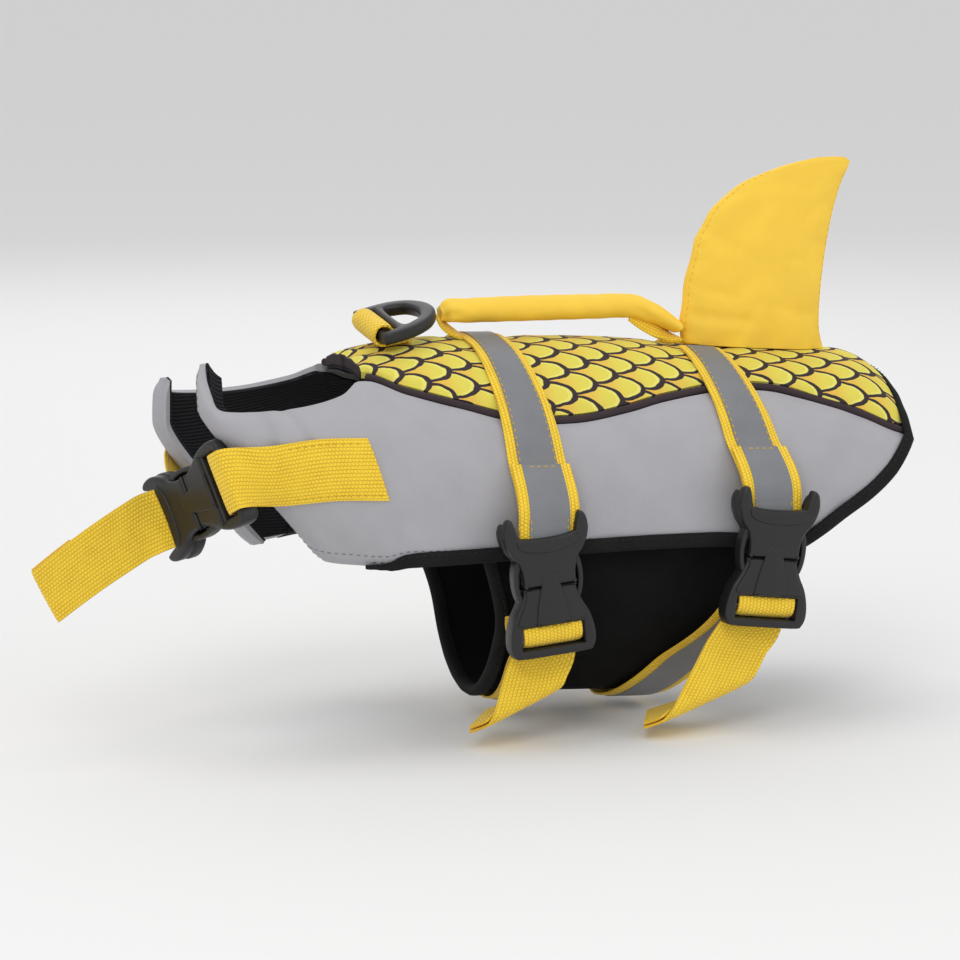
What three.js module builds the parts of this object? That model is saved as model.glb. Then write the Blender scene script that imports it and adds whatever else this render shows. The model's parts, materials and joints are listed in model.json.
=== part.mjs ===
// Dog life jacket, worn form with no wearer.
// Millimetres. X runs from the neck to the tail, Y to the dog's right, Z up.
// The origin is the underside of the lining at the middle of the back, where the dog carries it.

import * as THREE from "three";

// Driving sizes
const PANEL = 4.6; // foam panel, cover to cover
const LINING = 1.0;
const GAP = 0.3; // free space at every seam and between layers
const CROWN = PANEL + GAP + LINING; // outer face of the back above the origin
const WEBBING = 1.5;
const TAPE = 0.4;
const BAND = 2.4; // belly band
const PIPING = 1.6; // radius of the cord round the print panel
const BINDING = 0.9;
const BINDING_LEG = 5.4;
const LAP = 0.5; // free space under the legs of a binding
const STRAP_HALF = 12.5;
const STRAP_HALF_TOP = 9;
const BELLY = -150.5; // lowest line of the form at the origin's section
const BELLY_FALL = 0.045; // drop of that line per millimetre to the tail
const PATH_AT_ORIGIN = 154; // path length from the throat edge to the origin's section

// Sections of the form, a row per section: path length from the throat edge, where the widest
// line runs along X, half width, height of the crown and of the widest line, squareness
const BODY = [
  { path: 0, x: -122, half: 15, crown: 22, middle: -30, square: 2.1 },
  { path: 6, x: -127, half: 19, crown: 22, middle: -31, square: 2.1 },
  { path: 12, x: -130.5, half: 24.5, crown: 21, middle: -32, square: 2.1 },
  { path: 18, x: -131, half: 30.5, crown: 19.5, middle: -34, square: 2.1 },
  { path: 25, x: -127.5, half: 36.5, crown: 17, middle: -36, square: 2.1 },
  { path: 34, x: -119.5, half: 41, crown: 13, middle: -40, square: 2.1 },
  { path: 48, x: -106, half: 45.5, crown: 7.5, middle: -45, square: 2.15 },
  { path: 64, x: -90, half: 49.5, crown: 4, middle: -49, square: 2.2 },
  { path: 82, x: -72, half: 53, crown: 1.5, middle: -53, square: 2.3 },
  { path: 94, x: -60, half: 55, crown: 1.3, middle: -57, square: 2.4 },
  { path: 109, x: -45, half: 56.5, crown: 4, middle: -60, square: 2.3 },
  { path: 124, x: -30, half: 57.5, crown: 6.4, middle: -62, square: 2.15 },
  { path: 154, x: 0, half: 58, crown: CROWN, middle: -63, square: 2 },
  { path: 204, x: 50, half: 57.5, crown: 3.6, middle: -63, square: 2 },
  { path: 254, x: 100, half: 56, crown: -1.4, middle: -64, square: 2 },
  { path: 294, x: 140, half: 54, crown: -4.6, middle: -65, square: 2 },
  { path: 314, x: 160, half: 51.5, crown: -5.8, middle: -66, square: 2 },
  { path: 324, x: 170, half: 49.5, crown: -9.8, middle: -66, square: 2 },
  { path: 331.5, x: 177.5, half: 47.5, crown: -16.5, middle: -66, square: 2 },
];

// Upper edge of a side panel: neck rim, then the seam to the print panel
const UPPER = [
  { path: 0, near: -4, far: -14 },
  { path: 6, near: -0.5, far: -11 },
  { path: 12, near: 2.5, far: -8.5 },
  { path: 17, near: 1.5, far: -8 },
  { path: 22, near: -6, far: -9.5 },
  { path: 27, near: -12.5, far: -12.5 },
  { path: 34, near: -14, far: -13.5 },
  { path: 48, near: -13.6, far: -13.5 },
  { path: 64, near: -12.4, far: -12.2 },
  { path: 82, near: -8.4, far: -8.2 },
  { path: 94, near: -3, far: -3 },
  { path: 108, near: -8, far: -8 },
  { path: 130, near: -14.2, far: -14.2 },
  { path: 146, near: -19, far: -19 },
  { path: 158, near: -21.5, far: -21.5 },
  { path: 181, near: -22, far: -22 },
  { path: 202, near: -19.3, far: -19.3 },
  { path: 220, near: -16, far: -16 },
  { path: 246, near: -13.5, far: -13.5 },
  { path: 263, near: -14, far: -14 },
  { path: 275, near: -15.8, far: -15.8 },
  { path: 290, near: -20.5, far: -20.5 },
  { path: 307, near: -26.2, far: -26.2 },
  { path: 321, near: -32.5, far: -32.5 },
  { path: 331.5, near: -36, far: -36 },
];

// Lower edge of a side panel, up the slanting rear corner
const LOWER = [
  { path: 0, near: -78, far: -80 },
  { path: 30, near: -78.5, far: -80 },
  { path: 64, near: -79, far: -79 },
  { path: 90, near: -77, far: -77.5 },
  { path: 144, near: -76, far: -76 },
  { path: 182, near: -75, far: -75 },
  { path: 229, near: -75.5, far: -75.5 },
  { path: 249, near: -77, far: -77 },
  { path: 264, near: -80, far: -80 },
  { path: 274, near: -79.5, far: -79.5 },
  { path: 284, near: -74.5, far: -74.5 },
  { path: 295, near: -67.5, far: -67.5 },
  { path: 308, near: -60, far: -60 },
  { path: 319, near: -52, far: -52 },
  { path: 326.5, near: -44.5, far: -44.5 },
  { path: 331.5, near: -39.5, far: -39.5 },
];

const WITHERS = 94; // path length of the neck edge of the print panel
const TAIL = 331.5;

// Smooth reading of one column at a path length
function read(rows, name, at, key = "path") {
  let i = 0;
  while (i < rows.length - 2 && at > rows[i + 1][key]) i += 1;
  const [a, b] = [rows[i], rows[i + 1]];
  const before = rows[Math.max(i - 1, 0)];
  const after = rows[Math.min(i + 2, rows.length - 1)];
  const run = b[key] - a[key];
  const t = Math.min(Math.max((at - a[key]) / run, 0), 1);
  const slopeA = ((b[name] - before[name]) / (b[key] - before[key])) * run;
  const slopeB = ((after[name] - a[name]) / (after[key] - a[key])) * run;
  const t2 = t * t;
  const t3 = t2 * t;
  return (2 * t3 - 3 * t2 + 1) * a[name] + (t3 - 2 * t2 + t) * slopeA
    + (3 * t2 - 2 * t3) * b[name] + (t3 - t2) * slopeB;
}

function smooth(t) {
  const c = Math.min(Math.max(t, 0), 1);
  return c * c * (3 - 2 * c);
}

// The throat edge slants back as it goes down
const THROAT = {
  near: { from: 0, start: -14, rate: 0.85, soft: 5, back: 3.5 },
  far: { from: 9, start: -26, rate: 0.9, soft: 12, back: 0 },
};

function slant(path, side, z) {
  const { start, rate, soft, back } = THROAT[side];
  const drop = Math.max(start - z, 0);
  const fade = 1 - smooth((path - 20) / 110);
  return fade * (back + (rate * drop * drop) / (drop + soft));
}

const belly = (path) => BELLY - BELLY_FALL * Math.max(path - PATH_AT_ORIGIN, 0);

// Angle round the section, from the spine, at a height
function angleAt(path, z) {
  const crown = read(BODY, "crown", path);
  const middle = read(BODY, "middle", path);
  const square = read(BODY, "square", path);
  const reach = z > middle ? crown - middle : middle - belly(path);
  const share = Math.min(Math.abs(z - middle) / reach, 1);
  const angle = Math.acos(share ** (square / 2));
  return z > middle ? angle : Math.PI - angle;
}

function onForm(path, angle) {
  const half = read(BODY, "half", path);
  const crown = read(BODY, "crown", path);
  const middle = read(BODY, "middle", path);
  const power = 2 / read(BODY, "square", path);
  const [s, c] = [Math.sin(angle), Math.cos(angle)];
  const reach = c > 0 ? crown - middle : middle - belly(path);
  const y = half * Math.sign(s) * Math.abs(s) ** power;
  const z = middle + reach * Math.sign(c) * Math.abs(c) ** power;
  const past = Math.max(path - TAIL, 0);
  const side = angle < 0 ? "near" : "far";
  return new THREE.Vector3(read(BODY, "x", path) + slant(path, side, z) + past, y, z);
}

function outward(path, angle) {
  const p = Math.min(path, TAIL - 0.6);
  const along = onForm(p + 0.5, angle).sub(onForm(p - 0.5, angle));
  const round = onForm(p, angle + 0.02).sub(onForm(p, angle - 0.02));
  return along.cross(round).normalize();
}

// A point of the form, moved out along its normal
function form(path, angle, out) {
  return onForm(path, angle).addScaledVector(outward(path, angle), out);
}

// A closed solid from two faces of one grid
function sheet(point, rows, columns, front, back) {
  const positions = [];
  const index = [];
  for (const out of [front, back]) {
    for (let i = 0; i <= rows; i += 1) {
      for (let j = 0; j <= columns; j += 1) positions.push(...point(i / rows, j / columns, out));
    }
  }
  const width = columns + 1;
  const layer = (rows + 1) * width;
  const quad = (a, b, c, d) => index.push(a, b, c, a, c, d);
  for (let i = 0; i < rows; i += 1) {
    for (let j = 0; j < columns; j += 1) {
      const a = i * width + j;
      quad(a, a + width, a + width + 1, a + 1);
      quad(layer + a, layer + a + 1, layer + a + width + 1, layer + a + width);
    }
  }
  for (let i = 0; i < rows; i += 1) {
    const a = i * width;
    quad(a, layer + a, layer + a + width, a + width);
    const b = a + columns;
    quad(b, b + width, layer + b + width, layer + b);
  }
  for (let j = 0; j < columns; j += 1) {
    quad(j, j + 1, layer + j + 1, layer + j);
    const b = rows * width + j;
    quad(b, layer + b, layer + b + 1, b + 1);
  }
  return solid(positions, index);
}

// A closed solid from rings of the same count of points, capped at both ends
function loft(rings, closed = false) {
  const count = rings[0].length;
  const positions = rings.flatMap((ring) => ring.flatMap((p) => [p.x, p.y, p.z]));
  const index = [];
  const last = closed ? rings.length : rings.length - 1;
  for (let i = 0; i < last; i += 1) {
    const next = (i + 1) % rings.length;
    for (let j = 0; j < count; j += 1) {
      const k = (j + 1) % count;
      const [a, b, c, d] = [i * count + j, i * count + k, next * count + k, next * count + j];
      index.push(a, b, c, a, c, d);
    }
  }
  if (!closed) {
    const flat = rings[0].map((p, j) => new THREE.Vector2(...capPoint(rings[0], j)));
    for (const [a, b, c] of THREE.ShapeUtils.triangulateShape(flat, [])) {
      index.push(c, b, a);
      const end = (rings.length - 1) * count;
      index.push(end + a, end + b, end + c);
    }
  }
  return solid(positions, index);
}

// A ring's point in the plane of its own ring
function capPoint(ring, j) {
  const centre = ring.reduce((sum, p) => sum.add(p), new THREE.Vector3()).divideScalar(ring.length);
  const normal = new THREE.Vector3();
  ring.forEach((p, i) => {
    const q = ring[(i + 1) % ring.length];
    normal.add(p.clone().sub(centre).cross(q.clone().sub(centre)));
  });
  normal.normalize();
  const u = ring[0].clone().sub(centre).normalize();
  const v = normal.clone().cross(u);
  const d = ring[j].clone().sub(centre);
  return [d.dot(u), d.dot(v)];
}

function solid(positions, index) {
  const geometry = new THREE.BufferGeometry();
  geometry.setAttribute("position", new THREE.Float32BufferAttribute(positions, 3));
  let volume = 0;
  const at = (i) => new THREE.Vector3(...positions.slice(3 * i, 3 * i + 3));
  for (let i = 0; i < index.length; i += 3) {
    volume += at(index[i]).dot(at(index[i + 1]).cross(at(index[i + 2])));
  }
  if (volume < 0) {
    for (let i = 0; i < index.length; i += 3) {
      [index[i + 1], index[i + 2]] = [index[i + 2], index[i + 1]];
    }
  }
  geometry.setIndex(index);
  geometry.computeVertexNormals();
  return geometry;
}

const jacket = new THREE.Group();

const FINISH = {
  grey: { color: 0xaaa9ae, roughness: 0.85, metalness: 0 },
  print: { color: 0xd8c860, roughness: 0.8, metalness: 0 },
  yellow: { color: 0xf0cd3c, roughness: 0.8, metalness: 0 },
  fin: { color: 0xf4c84b, roughness: 0.75, metalness: 0 },
  black: { color: 0x202022, roughness: 0.9, metalness: 0 },
  tape: { color: 0x848588, roughness: 0.45, metalness: 0 },
  plastic: { color: 0x2c2c2e, roughness: 0.45, metalness: 0 },
};

function add(name, geometry, finish) {
  const mesh = new THREE.Mesh(geometry, new THREE.MeshStandardMaterial(FINISH[finish]));
  mesh.name = name;
  jacket.add(mesh);
  return mesh;
}

// Side panels, foam between two covers, and their linings
const SEAM = PIPING + GAP; // each panel stops this short of the seam line

const SIDE_ROWS = 38;
const NECK_ROWS = 14;

function rowPath(side, row) {
  const from = THROAT[side].from;
  if (row <= NECK_ROWS) return from + ((WITHERS - from) * row) / NECK_ROWS;
  return WITHERS + ((TAIL - WITHERS) * (row - NECK_ROWS)) / (SIDE_ROWS - NECK_ROWS);
}

function sidePoint(side) {
  const sign = side === "near" ? -1 : 1;
  return (u, v, out) => {
    const row = Math.round(u * SIDE_ROWS);
    const path = rowPath(side, row);
    const top = read(UPPER, side, path) - (row >= NECK_ROWS ? SEAM * 0.9 : 0);
    const bottom = read(LOWER, side, path);
    return form(path, sign * angleAt(path, top + (bottom - top) * v), out);
  };
}

for (const side of ["near", "far"]) {
  add(`side_panel_${side}`, sheet(sidePoint(side), SIDE_ROWS, 7, 0, -PANEL), "grey");
  add(`lining_${side}`, sheet(sidePoint(side), SIDE_ROWS, 7, -PANEL - GAP, -CROWN), "black");
}

// Print panel over the back
const BACK_COLUMNS = 10;
const backReach = (path) => angleAt(path, read(UPPER, "near", path) + SEAM * 0.9);

function backPoint(u, v, out) {
  const path = WITHERS + (TAIL - WITHERS) * u;
  return form(path, backReach(path) * (2 * v - 1), out);
}

add("back_panel", sheet(backPoint, 28, BACK_COLUMNS, 0, -PANEL), "print");
add("lining_back", sheet(backPoint, 28, BACK_COLUMNS, -PANEL - GAP, -CROWN), "black");

// Dark piping along both seams of the print panel
function tube(centres, radius, sides = 6) {
  const rings = centres.map((c, i) => {
    const ahead = centres[Math.min(i + 1, centres.length - 1)].clone();
    const run = ahead.sub(centres[Math.max(i - 1, 0)]).normalize();
    const across = new THREE.Vector3(0, 0, 1).cross(run).normalize();
    const up = run.clone().cross(across);
    return Array.from({ length: sides }, (_, k) => {
      const turn = (2 * Math.PI * (k + 0.5)) / sides;
      return c.clone().addScaledVector(across, radius * Math.cos(turn))
        .addScaledVector(up, radius * Math.sin(turn));
    });
  });
  return loft(rings);
}

for (const [side, sign] of [["near", -1], ["far", 1]]) {
  const centres = [];
  for (let i = 0; i <= 36; i += 1) {
    const path = WITHERS + 1 + ((TAIL - WITHERS - 2) * i) / 36;
    centres.push(form(path, sign * angleAt(path, read(UPPER, side, path)), -PIPING - 0.2));
  }
  add(`piping_${side}`, tube(centres, PIPING), "black");
}

// A binding folded over an edge: an outer leg, the turn and an inner leg
function binding(edge, wallFront, wallBack, leg) {
  const rings = edge.map(([path, angle], i) => {
    const at = onForm(path, angle);
    const [a, b] = [edge[Math.max(i - 1, 0)], edge[Math.min(i + 1, edge.length - 1)]];
    const run = onForm(...b).sub(onForm(...a)).normalize();
    const normal = outward(path, angle);
    const away = run.clone().cross(normal).normalize();
    const point = (beyond, out) => at.clone().addScaledVector(away, beyond).addScaledVector(normal, out);
    const [front, back] = [wallFront + LAP, wallBack - LAP];
    return [
      point(-leg, front), point(GAP, front), point(GAP, back), point(-leg, back),
      point(-leg, back - BINDING), point(GAP + BINDING, back - BINDING),
      point(GAP + BINDING, front + BINDING), point(-leg, front + BINDING),
    ];
  });
  return loft(rings);
}

const BOUND_FROM = 8; // first bound row of the side panels
const rim = [];
const alongHem = (side, row) => {
  const path = rowPath(side, row);
  return [path, (side === "near" ? -1 : 1) * angleAt(path, read(LOWER, side, path))];
};
for (let row = BOUND_FROM; row <= SIDE_ROWS; row += 1) rim.push(alongHem("near", row));
for (let j = 0; j <= BACK_COLUMNS; j += 1) rim.push([TAIL, backReach(TAIL) * ((2 * j) / BACK_COLUMNS - 1)]);
for (let row = SIDE_ROWS; row >= BOUND_FROM; row -= 1) rim.push(alongHem("far", row));
add("edge_binding", binding(rim, 0, -CROWN, BINDING_LEG), "black");

// Belly band, closed on the near side under the panel, and its two bindings
const BAND_OUT = -CROWN - LAP - 2 * GAP - 2 * BINDING;
const bandFront = (angle) => 148 - 11 * smooth((Math.cos(angle) + 0.6) / 0.6);
const bandRear = (angle) => 230 + 38 * smooth((Math.cos(angle) + 1) / 0.8);
const BAND_REACH = (96 * Math.PI) / 180;

function bandPoint(u, v, out) {
  const angle = Math.PI + BAND_REACH * (2 * v - 1);
  const path = bandFront(angle) + (bandRear(angle) - bandFront(angle)) * u;
  return form(path, angle, BAND_OUT + out);
}

add("belly_band", sheet(bandPoint, 8, 26, 0, -BAND), "black");

function bandBinding(edgeOf, beyond) {
  const rings = [];
  for (let i = 0; i <= 26; i += 1) {
    const angle = Math.PI + BAND_REACH * ((2 * i) / 26 - 1);
    const path = edgeOf(angle);
    const at = form(path, angle, BAND_OUT - BAND / 2);
    const normal = outward(path, angle);
    const away = new THREE.Vector3(beyond, 0, 0);
    const point = (x, out) => at.clone().addScaledVector(away, x).addScaledVector(normal, out);
    const half = BAND / 2 + GAP;
    rings.push([
      point(-4, half), point(GAP, half), point(GAP, -half), point(-4, -half),
      point(-4, -half - BINDING), point(GAP + BINDING, -half - BINDING),
      point(GAP + BINDING, half + BINDING), point(-4, half + BINDING),
    ]);
  }
  return loft(rings);
}

add("belly_binding_front", bandBinding(bandFront, -1), "black");
add("belly_binding_rear", bandBinding(bandRear, 1), "black");

// Webbing straps over the back, a reflective tape on each
const STRAPS = [
  { name: "1", low: -89, at: (angle) => 153.5 + 5 * smooth(Math.abs(angle) / 1.5) },
  { name: "2", low: -85, at: (angle) => 250.5 + 6 * smooth(Math.abs(angle) / 1.5) - 4 * Math.cos(angle) },
];

function strapPoint(strap, from, to, share) {
  return (u, v, out) => {
    const angle = ((from + (to - from) * u) * Math.PI) / 180;
    const half = STRAP_HALF_TOP + (STRAP_HALF - STRAP_HALF_TOP) * smooth(Math.abs(angle) / 1.5);
    return form(strap.at(angle) + half * share * (2 * v - 1), angle, out);
  };
}

const ON_PANEL = GAP + WEBBING;
const FIN_CLEAR = 11; // degrees left free for the fin's foot

function layStrap(name, strap, from, to) {
  const rows = Math.round((to - from) / 7.5);
  const web = strapPoint(strap, from, to, 1);
  add(`strap_${name}`, sheet(web, rows, 2, ON_PANEL, GAP), "yellow");
  const tape = strapPoint(strap, from, to, 0.68);
  add(`tape_${name}`, sheet(tape, rows, 2, ON_PANEL + GAP + TAPE, ON_PANEL + GAP), "tape");
}

layStrap("1", STRAPS[0], STRAPS[0].low, 94);
layStrap("2_near", STRAPS[1], STRAPS[1].low, -FIN_CLEAR);
layStrap("2_far", STRAPS[1], FIN_CLEAR, 94);

// Webbing under the belly, rising from the band to the buckle at its near end
const BELLY_STRAPS = [
  { name: "1", at: (angle) => 160 - 5 * (1 + Math.cos(angle)) },
  { name: "2", at: (angle) => 217 + 58 * (1 + Math.cos(angle)) },
];
const ON_BAND = BAND_OUT + GAP + BINDING + GAP;

function bellyPoint(strap, from, to, share) {
  return (u, v, out) => {
    const angle = ((from + (to - from) * u) * Math.PI) / 180;
    const rise = 9.4 * smooth(1 - ((from - to) * u) / 26);
    return form(strap.at(angle) + STRAP_HALF * share * (2 * v - 1), angle, ON_BAND + rise + out);
  };
}

for (const strap of BELLY_STRAPS) {
  add(`belly_strap_${strap.name}`, sheet(bellyPoint(strap, -114, -242, 1), 20, 2, WEBBING, 0), "yellow");
  const tape = bellyPoint(strap, -114, -242, 0.68);
  add(`belly_tape_${strap.name}`, sheet(tape, 20, 2, WEBBING + GAP + TAPE, WEBBING + GAP), "tape");
}

// Fin on the back, a padded piece with a leading and a trailing edge
const FIN = [
  { rise: 0, lead: 89, trail: 153, half: 7.5 },
  { rise: 8, lead: 88.5, trail: 152.6, half: 8.5 },
  { rise: 22, lead: 90, trail: 153, half: 8.5 },
  { rise: 38, lead: 92.5, trail: 155, half: 7.6 },
  { rise: 54, lead: 99, trail: 158.5, half: 6.4 },
  { rise: 66, lead: 112.5, trail: 162, half: 5 },
  { rise: 73, lead: 130, trail: 164.5, half: 3.8 },
  { rise: 77, lead: 153, trail: 166, half: 2.6 },
];

function finPoint(u, v, out) {
  const rise = 77 * u;
  const lead = read(FIN, "lead", rise, "rise");
  const trail = read(FIN, "trail", rise, "rise");
  const x = lead + (trail - lead) * v;
  const foot = read(BODY, "crown", x + PATH_AT_ORIGIN) + 0.6;
  const swell = Math.sqrt(Math.max(4 * v * (1 - v), 0));
  const y = out * (0.7 + (read(FIN, "half", rise, "rise") - 0.7) * swell);
  return new THREE.Vector3(x, y, foot * (1 - u) ** 2 + rise - 3 * u);
}

add("fin", sheet(finPoint, 12, 10, 1, -1), "fin");

// Grab handle, a padded sleeve on webbing
const HANDLE = [
  { x: -17, z: 16.8, wide: 3.2, tall: 3 },
  { x: -14, z: 17.3, wide: 6, tall: 4.6 },
  { x: -4, z: 17.4, wide: 6.6, tall: 5 },
  { x: 22, z: 17.3, wide: 6.8, tall: 5.2 },
  { x: 50, z: 16.9, wide: 6.8, tall: 5.1 },
  { x: 66, z: 16.4, wide: 6.6, tall: 4.9 },
  { x: 76, z: 13.6, wide: 6.8, tall: 3.8 },
  { x: 84.5, z: 8, wide: 7.4, tall: 2.4 },
];
const sleeve = HANDLE.map((row, i) => {
  const [a, b] = [HANDLE[Math.max(i - 1, 0)], HANDLE[Math.min(i + 1, HANDLE.length - 1)]];
  const tilt = Math.atan2(b.z - a.z, b.x - a.x);
  return Array.from({ length: 10 }, (_, k) => {
    const turn = (2 * Math.PI * k) / 10;
    const up = row.tall * Math.sin(turn);
    return new THREE.Vector3(row.x - up * Math.sin(tilt), row.wide * Math.cos(turn), row.z + up * Math.cos(tilt));
  });
});
add("handle", loft(sleeve), "fin");

// A flat strip of webbing along a row of stations: centre, direction of its width, half width
function ribbon(stations, thickness) {
  const last = stations.length - 1;
  const point = (u, v, out) => {
    const i = Math.round(u * last);
    const row = stations[i];
    const [a, b] = [stations[Math.max(i - 1, 0)], stations[Math.min(i + 1, last)]];
    const run = new THREE.Vector3(b.x - a.x, b.y - a.y, b.z - a.z).normalize();
    const wide = new THREE.Vector3(row.wx, row.wy, row.wz);
    wide.addScaledVector(run, -wide.dot(run)).normalize();
    const face = run.clone().cross(wide);
    return new THREE.Vector3(row.x, row.y, row.z)
      .addScaledVector(wide, row.half * (2 * v - 1)).addScaledVector(face, out);
  };
  return sheet(point, last, 2, thickness / 2, -thickness / 2);
}

const LEG_FRONT = [
  { x: -16.6, y: 0, z: 12.3, wx: 0, wy: 1, wz: 0, half: 4.5 },
  { x: -16.4, y: 0, z: 8.8, wx: 0, wy: 1, wz: 0, half: 5.5 },
  { x: -12.4, y: 0, z: 7.4, wx: 0, wy: 1, wz: 0, half: 7.5 },
];
add("handle_leg_front", ribbon(LEG_FRONT, WEBBING), "yellow");
const LEG_REAR = [
  { x: 66.8, y: 0, z: 10.55, wx: 0, wy: 1, wz: 0, half: 5.5 },
  { x: 71, y: 0, z: 6, wx: 0, wy: 1, wz: 0, half: 6.5 },
  { x: 78, y: 0, z: 2.6, wx: 0, wy: 1, wz: 0, half: 7.5 },
];
add("handle_leg_rear", ribbon(LEG_REAR, WEBBING), "yellow");

// D ring of moulded plastic: a slot for its webbing, then the open ring
const RING = { x: -46, z: 12, tilt: 14, roll: 10, wide: 18, long: 25, thick: 4 };

function ringShape() {
  const shape = new THREE.Shape();
  shape.moveTo(-3, -16);
  shape.lineTo(-1, -RING.wide);
  shape.lineTo(6, -RING.wide);
  shape.bezierCurveTo(17, -RING.wide, RING.long, -10, RING.long, 0);
  shape.bezierCurveTo(RING.long, 10, 17, RING.wide, 6, RING.wide);
  shape.lineTo(-1, RING.wide);
  shape.lineTo(-3, 16);
  shape.closePath();
  const opening = new THREE.Path();
  opening.moveTo(8, -12.5);
  opening.bezierCurveTo(15, -12.5, 20.5, -7, 20.5, 0);
  opening.bezierCurveTo(20.5, 7, 15, 12.5, 8, 12.5);
  opening.closePath();
  const slot = new THREE.Path();
  slot.moveTo(0.8, -13.5);
  slot.lineTo(5.2, -13.5);
  slot.lineTo(5.2, 13.5);
  slot.lineTo(0.8, 13.5);
  slot.closePath();
  shape.holes.push(opening, slot);
  return shape;
}

const ring = new THREE.ExtrudeGeometry(ringShape(), {
  depth: RING.thick - 1.2, bevelEnabled: true, bevelThickness: 0.6, bevelSize: 0.6,
  bevelSegments: 1, curveSegments: 7,
});
ring.translate(1, 0, -(RING.thick - 1.2) / 2);
const ringFrame = new THREE.Matrix4().makeRotationY((-RING.tilt * Math.PI) / 180)
  .multiply(new THREE.Matrix4().makeRotationX((RING.roll * Math.PI) / 180))
  .setPosition(RING.x, 0, RING.z);
ring.applyMatrix4(ringFrame);
add("d_ring", ring, "plastic");

// Webbing folded round the straight bar of the ring and sewn to the back
const LOOP_RADIUS = 4.25;
const LOOP_HALF = 12.3;
const loopLine = [{ x: 11, z: -7.6, flat: 1 }, { x: 5.5, z: -6.1, flat: 0.7 }, { x: 2.5, z: -5.1, flat: 0.3 }];
for (let i = 0; i <= 10; i += 1) {
  const turn = ((-90 - 31 * i) * Math.PI) / 180;
  loopLine.push({ x: LOOP_RADIUS * Math.cos(turn), z: LOOP_RADIUS * Math.sin(turn), flat: 0 });
}
const loopRings = loopLine.map((row, i) => {
  const [a, b] = [loopLine[Math.max(i - 1, 0)], loopLine[Math.min(i + 1, loopLine.length - 1)]];
  const length = Math.hypot(b.x - a.x, b.z - a.z);
  const [nx, nz] = [-(b.z - a.z) / length, (b.x - a.x) / length];
  const level = (row.flat * RING.roll * Math.PI) / 180;
  const corner = (y, t) => {
    const p = new THREE.Vector3(row.x + nx * t, y, row.z + nz * t - y * Math.sin(level));
    return p.applyMatrix4(ringFrame);
  };
  const t = WEBBING / 2;
  return [corner(-LOOP_HALF, -t), corner(0, -t), corner(LOOP_HALF, -t),
    corner(LOOP_HALF, t), corner(0, t), corner(-LOOP_HALF, t)];
});
add("ring_loop", loft(loopRings), "yellow");

// Side release buckles: a socket on the fixed strap, a plug with an adjusting slot below it
const BUCKLE_DEPTH = 10;

function outline(points) {
  const shape = new THREE.Shape();
  points.forEach(([x, y], i) => (i ? shape.lineTo(x, y) : shape.moveTo(x, y)));
  for (const [x, y] of [...points].reverse()) shape.lineTo(-x, y);
  shape.closePath();
  return shape;
}

function slotAt(low, high, half) {
  const path = new THREE.Path();
  path.moveTo(-half, low);
  path.lineTo(half, low);
  path.lineTo(half, high);
  path.lineTo(-half, high);
  path.closePath();
  return path;
}

const SOCKET_EDGE = [[-11, 1.4], [-12.6, 5], [-16.6, 10], [-17.7, 15], [-17.2, 20], [-15.8, 25.5], [-13.6, 27.8]];
const PLUG_EDGE = [[-15.4, -27.8], [-17, -25.6], [-17.4, -20], [-16.6, -15], [-13.6, -9], [-11.8, -4], [-11, -0.4]];

function moulding(edge, slot) {
  const shape = outline(edge);
  shape.holes.push(slot);
  const geometry = new THREE.ExtrudeGeometry(shape, {
    depth: BUCKLE_DEPTH - 2, bevelEnabled: true, bevelThickness: 1, bevelSize: 0.8, bevelSegments: 1,
  });
  return geometry.translate(0, 0, 1 - BUCKLE_DEPTH / 2);
}

const socket = moulding(SOCKET_EDGE, slotAt(21.2, 25, 14));
const plug = moulding(PLUG_EDGE, slotAt(-24, -15.2, 14));

function sideFrame(x, y, z, turn) {
  return new THREE.Matrix4().makeRotationX(Math.PI / 2)
    .multiply(new THREE.Matrix4().makeRotationZ((turn * Math.PI) / 180))
    .setPosition(x, y, z);
}

const FRONT_AXIS = new THREE.Vector3(0.16, -0.94, 0.3).normalize();
const frontAcross = new THREE.Vector3(0, 0, -1).addScaledVector(FRONT_AXIS, FRONT_AXIS.z).normalize();
const frontFace = frontAcross.clone().cross(FRONT_AXIS);
const BUCKLES = {
  1: sideFrame(4.2, -66.4, -85.3, 5),
  2: sideFrame(101.2, -66, -80.3, -7),
  front: new THREE.Matrix4().makeBasis(frontAcross, FRONT_AXIS, frontFace).setPosition(-126.2, -12.8, -51.5),
};
for (const [name, frame] of Object.entries(BUCKLES)) {
  add(`buckle_socket_${name}`, socket.clone().applyMatrix4(frame), "plastic");
  add(`buckle_plug_${name}`, plug.clone().applyMatrix4(frame), "plastic");
}

// Free ends of the webbing, out through the slot of each plug and down
const UNDER_BAR = [{ y: -17, z: 1.4 }, { y: -18.8, z: 2.4 }, { y: -20.4, z: 0.6 }, { y: -21, z: -3.2 },
  { y: -22.6, z: -6.4 }, { y: -25.4, z: -7 }, { y: -29.8, z: -7 }];
const STRAIGHT_OUT = [{ y: -19.4, z: -2 }, { y: -19.6, z: 4 }, { y: -19.8, z: 6.6 },
  { y: -20.6, z: 10.6 }];

function threaded(name) {
  const frame = BUCKLES[name];
  const wide = new THREE.Vector3().setFromMatrixColumn(frame, 0);
  return (name === "front" ? STRAIGHT_OUT : UNDER_BAR).map((row) => {
    const p = new THREE.Vector3(0, row.y, row.z).applyMatrix4(frame);
    return { x: p.x, y: p.y, z: p.z, wx: wide.x, wy: wide.y, wz: wide.z, half: 12.4 };
  });
}

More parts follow.
